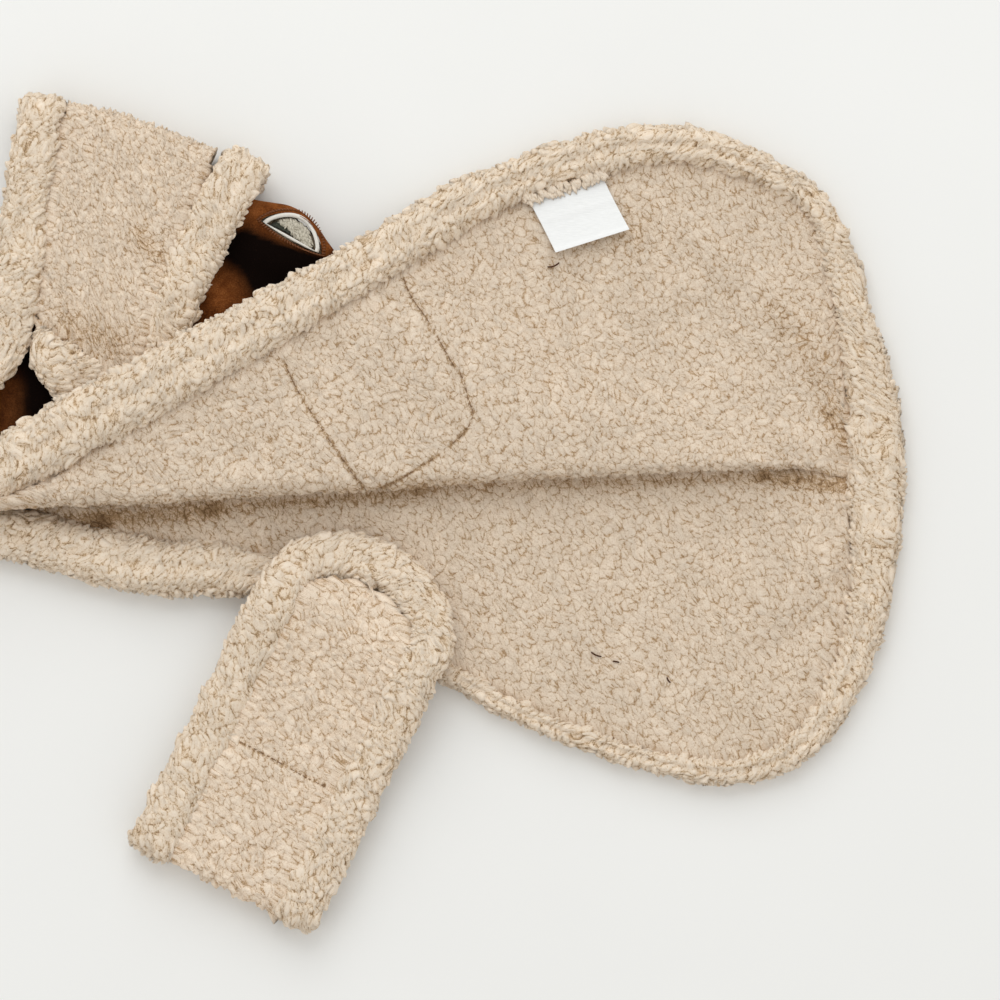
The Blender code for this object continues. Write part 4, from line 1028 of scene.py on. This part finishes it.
def slit_outline(inset, count, wider=0.0):
    """The leash slit's outline: two arcs between its ends, drawn in by inset. wider moves the far one
    out."""
    first, last = np.array(SLIT_ENDS)
    along = unit(last - first)
    out = np.array([-along[1], along[0]])
    first, last = first + along * inset * 1.6, last - along * inset * 1.6
    share = np.linspace(0, 1, count)
    far = first + (last - first) * share[:, None]
    arch = np.sin(math.pi * share)[:, None] ** 0.7
    upper = far + out * arch * (SLIT_BULGES[0] - inset + wider)
    lower = far - out * arch * (SLIT_BULGES[1] - inset)
    return np.concatenate([upper, lower[-2:0:-1]])


def slit_heights(outline):
    """The neck cloth's top round the slit, which falls away over the fold."""
    rows = smoothed(NECK, 80)
    edge = plan(rows)
    nearest = np.argmin(np.linalg.norm(outline[:, None] - edge[None], axis=-1), axis=1)
    away = np.linalg.norm(outline - edge[nearest], axis=1)
    bend = (rows["fold"][nearest] - NECK_FLOOR) / 2
    inside = np.clip(1 - away / bend, 0, 1)
    return rows["fold"][nearest] - bend + bend * np.sqrt(1 - inside**2)


# The belly strap's own frame: across it, and down it from its rounded end to its fold.
STRAP_DOWN = np.array([-math.sin(STRAP_LEAN), -math.cos(STRAP_LEAN)])
STRAP_ACROSS = np.array([math.cos(STRAP_LEAN), -math.sin(STRAP_LEAN)])


def strap_place(across, along):
    across, along = np.broadcast_arrays(across, along)
    return STRAP_APEX + across[..., None] * STRAP_ACROSS + along[..., None] * STRAP_DOWN


def strap_under(along):
    """The height of the upper layer's underside."""
    fine = smoothed({"x": STRAP["along"], "y": 0 * STRAP["along"], "under": STRAP["under"]}, 200)
    return np.interp(along, fine["x"], fine["under"])


def strap_grids(stations, columns, arc):
    """The strap's upper layer between its bindings, and round the fold down to the table. Its outline is
    two straight sides and half an ellipse."""
    inset = STRAP_BORDER + GAP
    flat_end = STRAP_LENGTH - STRAP_FOLD
    share = np.linspace(0, 1, stations)
    along = inset + 0.6 + (flat_end - inset - 0.6) * share**1.25
    rounded = np.clip((along - inset) / (STRAP_END - inset * 0.8), 0, 1)
    half = (STRAP_WIDTH / 2 - inset) * np.sqrt(1 - (1 - rounded) ** 2)
    crown = strap_under(along) + STRAP_CLOTH + STRAP_SOFT
    angle = np.radians(90 - np.linspace(8, 180, arc))
    radius = crown[-1] / 2
    across = np.linspace(-1, 1, columns)
    grids = []
    for depth in (0.0, STRAP_CLOTH):
        arm = radius - min(depth, radius - 1.0)
        run = np.concatenate([along, flat_end + arm * np.cos(angle)])
        height = np.concatenate([crown - depth, radius + arm * np.sin(angle)])
        width = np.concatenate([half, np.full(len(angle), half[-1])])
        places = strap_place(width[:, None] * across, run[:, None] + 0 * across)
        sag = 0.5 * slow(places[..., 0], places[..., 1], 16, 71) * (depth == 0)
        grids.append(at_height(places, np.maximum(height[:, None] + sag, 0.3)))
    return grids


def strap_edge_path():
    """The middle of the strap's binding: up one side, round the end and down the other."""
    straights, bends = 190, 220
    inset = STRAP_BORDER / 2
    side = STRAP_WIDTH / 2 - inset
    end = STRAP_END - inset * 0.8
    straight = np.linspace(STRAP_LENGTH - STRAP_FOLD, inset + end, straights)
    angle = np.linspace(0, math.pi, bends)[1:-1]
    across = np.concatenate([np.full(straights, -side), -side * np.cos(angle), np.full(straights, side)])
    along = np.concatenate([straight, inset + end * (1 - np.sin(angle)), straight[::-1]])
    x, y = strap_place(across, along).T
    width, height = np.full((2, len(along)), [[STRAP_BORDER], [STRAP_ROLL]])
    return {"x": x, "y": y, "width": width, "height": height, "rest": strap_under(along)}


def strap_lower_rings(stations, count):
    """Rings across the strap's lower layer, from the hem's outer edge to the fold."""
    turn = np.linspace(0, 2 * math.pi, count, endpoint=False)
    spread = np.cos(turn)
    across = (STRAP_WIDTH / 2 - 3) * spread
    hem = HEM_OUTER[:RUMP] - STRAP_APEX
    order = np.argsort(hem @ STRAP_ACROSS)
    start = np.interp(across, (hem @ STRAP_ACROSS)[order], (hem @ STRAP_DOWN)[order]) + 1.5
    stop = STRAP_LENGTH - STRAP_FOLD - 0.6
    along = start[None] + (stop - start[None]) * np.linspace(0, 1, stations)[:, None]
    middle = STRAP_UNDER / 2
    half = middle * np.sqrt(1 - 0.8 * np.abs(spread) ** 6) * np.where(np.sin(turn) >= 0, 1, -1)
    half = np.where(np.abs(np.sin(turn)) < 1e-6, 0.0, half)
    return at_height(strap_place(across[None] + 0 * along, along), middle + half + 0 * along)


# ---------------------------------------------------------------- sherpa


def sherpa_panel(name, node, coarse, fine, cell, depth, seed, ends, even=0, skip=8, step=3, stretch=1.9,
                 lines=(), carried=(), round_a_fold=False, roots=1, shade=0.0):
    """A sherpa panel from its outer and inner surface, coarse for its woven back and fine for its pile.
    The back is a closed sheet on the solid's underside, and the pile a closed panel over it. even is how
    many places its rows are read off at. lines are pressed into the pile. Each of carried is an end,
    how far the last row there goes on, and over how many rows that fades. roots is 1 where painted
    shade darkens the pile in its deepest places."""
    outer, inner = upward(*(grid[::step, ::3] for grid in coarse))
    new_piece(name + "_backing", slab(inner + unit(outer - inner) * 1.1, inner), BACKING, node)
    outer, inner = upward(*fine)
    t, heading = outer[..., 1], -0.9
    if even:
        outer, inner = evened(outer, even), evened(inner, even)
        rows = (len(outer) - 1) // skip * skip + 1
        outer, inner = outer[:rows], inner[:rows]
        t, heading = across_run(outer), -1.0 - 2 * low_end(outer)
    top, looks = napped(outer, outer[..., 0], t, heading, cell, depth, seed, stretch)
    for line in lines:
        away = np.sqrt(((top[..., None, :2] - line[::4]) ** 2).sum(-1)).min(-1)
        # Painted shade in the groove pressed along each line.
        looks["pile"] = looks["pile"] * smoothstep(away / 1.3)
        top = top - normals(outer) * (0.7 * np.exp(-((away / 0.9) ** 2)))[..., None]
    top = tucked(top, ends, round_a_fold)
    for end, reach, count in carried:
        rows = top[:: 1 if end == 0 else -1]
        rows[:count] += np.linspace(1, 0, count, endpoint=False)[:, None, None] * np.array(reach)
    # Painted shade: the pile darkened along the rows of deep shade.
    looks["pile"] = looks["pile"] - roots * ridge(DEEP_SHADE_ROWS, outer[..., 0], outer[..., 1])
    looks["tone"] = looks["tone"] + shade
    low = inner + unit(outer - inner) * 1.2
    furred(name + "_fleece", slab(top, low, skip), FLEECE, looks, 0.4)


def long_pile(name, rings, heading, seed, node):
    """A closed tube of long pile in place of a solid."""
    rings = facing_out(rings)
    run = across_run(rings.mean(axis=1)[None])[0]
    across = across_run(rings)
    furry, looks = tufted(rings, run[:, None] + 0 * across, across, heading, seed)
    furred(name, tube(furry), BINDING, looks, 0.5, node)


def bound_edge(name, path, seed, heading, groove=0.12, turned=()):
    """A rolled edge of long pile, with a groove along its seam."""
    long_pile(name + "_fleece", roll_rings(path, groove, turned=turned), heading, seed, name)


def lay_linings():
    sides = ((1, 0), (1, -1))
    sherpa_panel("right_lining", "right_lining", right_grids(110, 40), right_grids(481, 161), LINING_CELL,
                 LINING_DEPTH, 410, sides, carried=((-1, (4.0, 0.5, -1.2), 3),))
    sherpa_panel("left_lining", "left_lining", TurnedBack(4).grids(44, 8), TurnedBack(16).grids(120, 24),
                 LINING_CELL, LINING_DEPTH, 510, ((1, "high"),), 177,
                 lines=[plan(smoothed(line, 200)) for line in PATCH_LINES],
                 carried=((-1, (4.0, 0.0, -1.2), 3), (0, (-10.0, -1.0, -0.5), 16)))
    bound_edge("hem_binding", hem_path(1560), 42, 0.95)


def lay_collar():
    coarse, fine = (
        wrapped_grids(COLLAR, stations, COLLAR_CLOTH, collar_tops, flat, arc)
        for stations, flat, arc in ((34, 48, 14), (145, 100, 30))
    )
    sherpa_panel("collar", "collar_sherpa", coarse, fine, COLLAR_CELL, COLLAR_DEPTH, 610,
                 ((0, 0), (0, -1), (1, "low")), 129, 4, stretch=1.45, round_a_fold=True, shade=0.7)
    bound_edge("collar_band", smoothed(COLLAR_BAND, 260), 62, -0.8, turned=(-1,))
    bound_edge("collar_binding", smoothed(COLLAR_BINDING, 340), 63, 0.8, turned=(-1,))


def lay_strap():
    down, first, last = STRAP_LINE
    line = strap_place(np.linspace(first, last, 80), down)
    sherpa_panel("strap", "strap_sherpa", strap_grids(60, 24, 14), strap_grids(203, 73, 38), LINING_CELL,
                 COLLAR_DEPTH, 720, ((1, 0), (1, -1), (0, 0)), skip=4, step=2, lines=[line], roots=0,
                 shade=1.4)
    bound_edge("strap_binding", strap_edge_path(), 73, 0.7, 0.07, (0, -1))
    long_pile("strap_lower_fleece", strap_lower_rings(120, 150), 0.7, 74, "strap_under")


# ---------------------------------------------------------------- hidden layers at the neck and crease


def lay_neck_layers():
    """What lies inside the closed neck end: two thick layers with rounded lips all round, and curls along
    the lips."""
    outline = plan(smoothed(NECK_OUTLINE, 320, closed=True))
    side = left_of(outline, closed=True)
    rings = []
    for low, high in ((1.6, 5.4), (5.5, 9.5)):
        middle, half = (low + high) / 2, (high - low) / 2
        for turn in np.linspace(-1.35, 1.35, 9):
            inset = 3.4 + 1.6 * (1 - math.cos(turn)) + 0.35 * slow(outline[:, 0], outline[:, 1], 9, 81)
            height = middle + half * math.sin(turn) / math.sin(1.35)
            rings.append(at_height(outline + side * inset[:, None], height))
    (rings,) = upward(np.stack(rings))
    new_piece("neck_layers_fleece", tube(rings), BACKING, "neck_layers")

    grid = np.swapaxes(np.concatenate([rings, rings[:, :1]], axis=1), 0, 1)
    out = grid[..., :2] - outline.mean(axis=0)
    grid = grid if (normals(grid)[..., :2] * out).sum() > 0 else grid[:, ::-1]
    rng = np.random.default_rng(82)
    u, v = scattered(grid, 3.2, 3.0, rng)
    base, up = read_grid(grid, u, v), unit(read_grid(normals(grid), u, v))
    forward = read_grid(unit(np.gradient(grid, axis=0)), u, v)
    shown = (base[:, 2] > 2.0) & (base[:, 2] < 9.2)
    base, up, forward = base[shown], up[shown], forward[shown]
    aside = unit(np.cross(up, forward))
    forward = np.cross(aside, up)
    count = len(base)
    turn = 0.5 + 1.04 * slow(base[:, 0], base[:, 1] + base[:, 2], 17, 83) + 0.8 * rng.normal(0, 0.45, count)
    way = np.cos(turn)[:, None] * forward + np.sin(turn)[:, None] * aside
    patchy = 1 + 0.2 * slow(base[:, 0], base[:, 1], 11, 84)
    length = 4.0 * patchy * rng.uniform(0.72, 1.3, count)
    width = 2.6 * patchy * rng.uniform(0.8, 1.25, count)
    rise, hook = 1.6 * rng.uniform(0.75, 1.2, count), rng.uniform(-0.42, 0.42, count)
    shape, looks = locks(base - up * 1.6, up, way, length, width, rise, hook, rng, 0.55)
    new_piece("neck_layers_curls", shape, FLEECE, looks=looks)


def lay_folded_layers():
    """Both halves where they lie hidden between the linings: two slabs, one on the other."""
    turned = TurnedBack(3)
    crease = turned.crease
    front = turned.reach - turned.radius - 0.6
    fine = np.linspace(0, 1, 90)[None] * front[:, None]
    places = turned.point(fine)
    beyond = places[..., 1] - np.interp(places[..., 0], crease["x"], crease["y"] + crease["tuck"])
    roomy = (beyond < 0) & (turned.heights(fine)[1] > LEAST_TOP + 1.8)
    start = np.take_along_axis(fine, np.argmax(roomy, axis=1)[:, None], axis=1)[:, 0]
    used = np.nonzero(roomy.any(axis=1) & (front - start > 6.0) & (crease["x"] > 12))[0]
    share = np.linspace(0, 1, 24)[None]
    distance = start[:, None] * (1 - share) + front[:, None] * share
    under = np.maximum((crease["top"] - 2 * turned.radius)[:, None], LEAST_TOP)
    lift = smoothstep((distance - front[:, None] + 22) / 22)
    low = (LEAST_TOP + (under - LEAST_TOP) * lift)[used]
    high = np.maximum(turned.heights(distance)[1] - 0.7, LEAST_TOP + 0.4)[used]
    high = np.maximum(high, low + 0.4)
    grid = turned.point(distance)[used]
    edge = smoothstep(np.minimum(share * 12, (1 - share) * 12)) + 0 * low
    slabs, faces = [], []
    for bottom, top in ((0.0, 0.48), (0.52, 1.0)):
        middle, half = low + (high - low) * (bottom + top) / 2, (high - low) * (top - bottom) / 2
        half = half * (0.45 + 0.55 * edge)
        points, parts = slab(*upward(at_height(grid, middle + half), at_height(grid, middle - half)))
        faces += [part + len(slabs) * len(points) for part in parts]
        slabs.append(points)
    new_piece("folded_layers_fleece", (np.concatenate(slabs), faces), BACKING, "folded_layers")


# ---------------------------------------------------------------- brown outer cloth


def suede_slab(name, grids, node, darkening, cutter=None):
    """A sheet of the brown cloth between two grids. With a cutter, its hole is cut out first. Its shade
    rows darken it towards near black: painted shade."""
    piece = new_piece(name, slab(*upward(*grids)), SUEDE, node)
    if cutter is not None:
        hole = piece.modifiers.new("slit", "BOOLEAN")
        hole.operation, hole.solver, hole.object = "DIFFERENCE", "EXACT", cutter
        graph = bpy.context.evaluated_depsgraph_get()
        cut = bpy.data.meshes.new_from_object(piece.evaluated_get(graph))
        piece.modifiers.clear()
        piece.data = cut
        bpy.data.objects.remove(cutter)
    mesh = piece.data
    mesh.shade_smooth()
    mesh.set_sharp_from_angle(angle=math.radians(50))
    places = np.empty(len(mesh.vertices) * 3, np.float32)
    mesh.vertices.foreach_get("co", places)
    x, y = (places.reshape(-1, 3)[:, :2] / METRES + ORIGIN).T
    made = mesh.attributes.new("darkening", "FLOAT", "POINT")
    made.data.foreach_set("value", np.clip(ridge(darkening, x, y), 0, 1).astype(np.float32))


def lay_neck_shell():
    outline = slit_outline(0.0, 33)
    points, faces = tube(facing_out(np.stack([at_height(outline, 8.4), at_height(outline, 24.0)])))
    mesh = bpy.data.meshes.new("slit_cutter")
    places = (points - (*ORIGIN, 0.0)) * METRES
    mesh.from_pydata(places.tolist(), [], [tuple(map(int, face)) for part in faces for face in part])
    cutter = in_scene("slit_cutter", mesh)
    grids = wrapped_grids(NECK, 110, SHELL, neck_tops, 60, 12, NECK_FLOOR, -50)
    suede_slab("neck_outer_cloth", grids, "neck_shell", NECK_SHADE, cutter)


def lay_chest_shell():
    rows = smoothed(CHEST, 60)
    share = np.linspace(0, 1, 24)[None, :, None]
    grid = plan(rows)[:, None] * (1 - share) + plan(rows, "in_x", "in_y")[:, None] * share
    top = NECK_TOP - 0.5 - 1.6 * (2 * share[..., 0] - 1) ** 4 + 0 * grid[..., 0]
    soft = np.minimum(0.35 * slow(grid[..., 0], grid[..., 1], 12, 92), 0.1)
    grids = at_height(grid, top + soft), at_height(grid, top - SHELL)
    suede_slab("chest_outer_cloth", grids, "chest_shell", CHEST_SHADE)


def lay_back_shell():
    """The outer cloth on the table: rings from the middle of its outline out to its edge and back."""
    lifted = int(np.nonzero(HEM_PATH["rest"] > 3.0)[0][0])
    outline = np.concatenate([HEM_INNER[:lifted:2], plan(smoothed(BACK_NECK, 40))])
    centre = np.array([178.0, 232.0])
    share = np.linspace(1, 0.02, 30)[:, None, None]
    grid = centre + (outline - centre)[None] * share
    soft = 0.12 * slow(grid[..., 0], grid[..., 1], 14, 93)
    upper = at_height(grid, SHELL - 0.12 + soft)
    rings = np.concatenate([at_height(grid[::-1], 0.12), upper])
    points, faces = tube(rings if normals(upper)[..., 2].sum() > 0 else rings[:, ::-1])
    # The back cloth darkened a little everywhere, more here and less there by a slow noise.
    darkening = {"darkening": 0.15 + 0.15 * slow(points[:, 0], points[:, 1], 30, 94)}
    new_piece("back_outer_cloth", (points, faces), SUEDE, "back_shell", darkening)


# ---------------------------------------------------------------- the leash slit, sewing and label


def cords(name, paths, radius, finish, sides=5):
    """A piece of thin closed cords, one along each path of the same number of points."""
    count, steps = paths.shape[:2]
    run = unit(np.gradient(paths, axis=1))
    across = unit(np.cross(run, (0.11, 0.07, 1.0)))
    above = np.cross(across, run)
    angle = np.arange(sides) * 2 * math.pi / sides
    taper = np.full(steps, 1.0)
    taper[[0, -1]] = 0.55
    rings = paths[:, :, None] + radius * taper[None, :, None, None] * (
        across[:, :, None] * np.cos(angle)[:, None] + above[:, :, None] * np.sin(angle)[:, None]
    )
    index = grid_index(steps, sides)
    first = (np.arange(count) * steps * sides)[:, None, None]
    walls, ends = between(index, np.roll(index, -1, axis=1)), np.stack([index[0], index[-1][::-1]])
    faces = [(part + first).reshape(-1, part.shape[1]) for part in (walls, ends)]
    new_piece(name, (rings.reshape(-1, 3), faces), finish)


def turned_outward(piece):
    """Turns a closed piece's faces outwards."""
    shape = bmesh.new()
    shape.from_mesh(piece.data)
    bmesh.ops.recalc_face_normals(shape, faces=shape.faces)
    shape.to_mesh(piece.data)
    shape.free()


def lay_leash_slit():
    """The tape that faces the slit, the lining that shows through it and the stitches round its edge."""
    outside, inside = slit_outline(SEAM, 41, 1.2), slit_outline(SEAM + SLIT_TAPE, 41, 0.6)
    high = slit_heights(outside)
    ring = ((outside, 0.35), ((outside + inside) / 2, 0.75), (inside, 0.3), (inside, -2.0), (outside, -2.2))
    rings = np.stack([at_height(places, high + up) for places, up in ring], axis=1)
    index = grid_index(*rings.shape[:2])
    after, beside = np.roll(index, -1, axis=0), np.roll(index, -1, axis=1)
    faces = np.stack([index, after, np.roll(after, -1, axis=1), beside], -1).reshape(-1, 4)
    turned_outward(new_piece("leash_facing_tape", (rings.reshape(-1, 3), [faces]), TAPE,
                             "leash_facing"))

    outline = slit_outline(SEAM + SLIT_TAPE + 2 * GAP, 41)
    centre = outline.mean(axis=0)
    high = slit_heights(outline)
    levels = ((1.0, 9.9), (0.97, high - 2.4), (0.84, high - 1.7), (0.6, high - 1.5), (0.3, high - 1.4))
    rings = np.stack([at_height(centre + (outline - centre) * size, z + 0 * high) for size, z in levels])
    # The lining down the slit is the near-black backing: painted shade.
    turned_outward(new_piece("leash_fleece", tube(rings), SHADE_BACKING, "leash_lining"))
    rng = np.random.default_rng(95)
    spots = rng.uniform(0, 1, (420, 2))
    around, size = (spots[:, 0] * len(outline)).astype(int), 0.93 * np.sqrt(spots[:, 1])
    base = centre + (outline[around] - centre) * size[:, None]
    first, last = np.array(SLIT_ENDS)
    long = np.linalg.norm(last - first)
    along = (base - first) @ unit(last - first) / long
    above = np.cross(last - first, base - first) / long / SLIT_BULGES[0]
    # The shaded curls stand only where light reaches down the slit.
    lit = np.abs(above) > 0.5 - 0.6 * along
    roots = at_height(base, high[around] - 2.0)[lit]
    turn = rng.normal(-1.2, 0.5, len(roots))
    way = np.stack([np.cos(turn), np.sin(turn)], -1)
    shape, looks = upright_locks(roots, way, rng, (2.0, 3.4), (0.9, 1.5), (0.8, 1.5))
    new_piece("leash_curls", shape, SHADED_FLEECE, looks=looks)

    lip = slit_outline(-0.5, 61, 1.3)
    run = run_length(np.concatenate([lip, lip[:1]]))
    at = np.arange(0, run[-1], 1.15)
    x, y, z = (np.interp(at, run, np.append(value, value[0])) for value in (*lip.T, slit_heights(lip)))
    spot = np.stack([x, y], -1)
    out = unit(spot - lip.mean(axis=0))
    slant = 0.35 * np.stack([-out[:, 1], out[:, 0]], -1)
    q = np.linspace(0, 1, 5)
    reach = (-0.5 + 1.25 * q)[None, :, None]
    paths = spot[:, None] + out[:, None] * reach + slant[:, None] * (q - 0.5)[None, :, None] * 2
    arch = 0.15 + 0.6 * np.sin(math.pi * q) ** 0.7
    cords("leash_overlock", at_height(paths, z[:, None] + arch), 0.27, OVERLOCK)


def lining_heights(points):
    """The turned-back lining's top at plan places, read off its nearest section point."""
    grid = TurnedBack(6).grids(120, 2)[0].reshape(-1, 3)
    nearest = np.array([np.argmin(np.linalg.norm(grid[:, :2] - spot, axis=1)) for spot in points])
    return grid[nearest, 2]


def stitch_row(line, tops, length, gap, shown, rng):
    """Paths of single stitches along a line of plan points with their tops: each rises out of the cloth
    and dips back, and shown is the share of them that the pile leaves open."""
    run = run_length(line)
    starts = np.arange(0, run[-1] - length, length + gap)
    starts = starts[rng.uniform(0, 1, len(starts)) < shown]
    at = starts[:, None] + np.linspace(0, length, 5)[None]
    x, y, z = (np.interp(at, run, value) for value in (line[:, 0], line[:, 1], tops))
    return np.stack([x, y, z - 1.0 + 0.5 * np.sin(np.linspace(0, math.pi, 5))[None]], -1)


def sew():
    rng = np.random.default_rng(96)
    rows = []
    for line, shown in zip(PATCH_LINES, (0.85, 0.4, 0.7)):
        points = plan(smoothed(line, 200))
        rows.append(stitch_row(points, lining_heights(points), 2.6, 0.35, shown, rng))
    cords("patch_stitches", np.concatenate(rows), 0.2, SEWING)
    down, first, last = STRAP_LINE
    place = np.linspace(first, last, 120)
    tops = strap_under(np.full(120, down)) + STRAP_CLOTH + STRAP_SOFT
    row = stitch_row(strap_place(place, down + 0.5 * np.sin(place / 9)), tops, 2.4, 0.4, 0.8, rng)
    cords("strap_stitches", row, 0.22, SEWING)
    bits = []
    q = np.linspace(-0.5, 0.5, 9)
    for x, y, length, turn, bend in THREAD_BITS:
        way = np.array([math.cos(math.radians(turn)), math.sin(math.radians(turn))])
        side = np.array([-way[1], way[0]])
        spots = np.array([x, y]) + way * (q * length)[:, None]
        spots = spots + side * (bend * length * (q**2 - 0.1))[:, None]
        top = lining_heights(spots[4:5])[0] if y > 205 else LINING_TOP
        bits.append(at_height(spots, top + 0.5 + 0.5 * np.cos(q * 3)))
    cords("thread_bits", np.array(bits), 0.34, THREAD)


def lay_label():
    """A satin tag, sewn into the hem's seam at its top and lifting a little at its free end, with pile
    over its sewn edge."""
    width, height = LABEL_SIZE
    right = np.array([math.cos(LABEL_LEAN), math.sin(LABEL_LEAN)])
    down = np.array([math.sin(LABEL_DROP), -math.cos(LABEL_DROP)])
    across, along = np.meshgrid(np.linspace(0, width, 50), np.linspace(0, height, 40), indexing="ij")
    bow = 0.35 * np.sin(along / height * math.pi) * (0.5 - across / width)
    places = np.array(LABEL_CORNER) + (across + bow)[..., None] * right + along[..., None] * down
    share = along / height
    rise = LINING_TOP + 0.75 + 2.2 * share**2 + 0.5 * np.sin(across / width * math.pi)
    rise = rise + 0.22 * np.sin(across / 4.1 + share * 2) * share
    rise = rise + 0.18 * np.exp(-(((share - 0.42) / 0.06) ** 2))
    hem = 0.25 * smoothstep((share - 0.93) / 0.02)
    satin_tag = slab(*upward(at_height(places, rise + 0.35 + hem), at_height(places, rise)))
    piece = new_piece("label_satin", satin_tag, SATIN, "label")
    piece.data.set_sharp_from_angle(angle=math.radians(50))

    rng = np.random.default_rng(97)
    spots = rng.uniform((-1.5, -2.2), (width + 1.5, 0.6), (66, 2))
    places = np.array(LABEL_CORNER) + spots[:, :1] * right + spots[:, 1:] * down
    roots = at_height(places, LINING_TOP + 1.6 - 0.35 * spots[:, 1])
    turn = rng.normal(0, 0.35, (len(spots), 1))
    way = down * np.cos(turn) + right * np.sin(turn)
    shape, looks = upright_locks(roots, way, rng, (3.6, 5.2), (1.8, 2.6), (0.9, 1.4), flat=0.55, sides=6,
                                 profile=TUFT_RINGS)
    new_piece("label_tufts", shape, BINDING, looks=looks)


for lay in (lay_linings, lay_collar, lay_strap, lay_neck_layers, lay_folded_layers, lay_neck_shell,
            lay_chest_shell, lay_back_shell, lay_leash_slit, sew, lay_label):
    lay()


# ---------------------------------------------------------------- the set


def build_set():
    """The table, daylight from a window, the room's light and the camera."""
    scene = bpy.context.scene
    mesh = bpy.data.meshes.new("table_top")
    places = [(-6, -6, 0), (6, -6, 0), (6, 6, 0), (-6, 6, 0)]
    mesh.from_pydata(places, [], [(0, 1, 2, 3)])
    mesh.materials.append(TABLE)
    floor = in_scene("table_top", mesh)
    floor.location.z = -0.0002
    lamp = bpy.data.lights.new("window", "AREA")
    lamp.shape = "SQUARE"
    lamp.size = 2.1
    lamp.energy = 27.5
    lamp.color = (0.955, 0.985, 1.0)
    window = in_scene("window", lamp)
    window.location = (-0.25, 1.85, 1.7)
    window.rotation_euler = (Vector((0.06, 0.0, 0.0)) - window.location).to_track_quat("-Z", "Y").to_euler()
    scene.world = bpy.data.worlds.new("room")
    scene.world.use_nodes = True
    background = scene.world.node_tree.nodes["Background"].inputs
    background[0].default_value = (1.0, 0.985, 0.955, 1.0)
    background[1].default_value = 0.78
    camera = bpy.data.cameras.new("camera")
    camera.lens = 200
    camera.sensor_width = 36
    camera.clip_end = 50
    scene.camera = in_scene("camera", camera)
    scene.camera.location = ((200 - ORIGIN[0]) * METRES, (200 - ORIGIN[1]) * METRES, 0.012 + 0.4 * 200 / 36)
    scene.view_settings.view_transform = "Standard"


build_set()
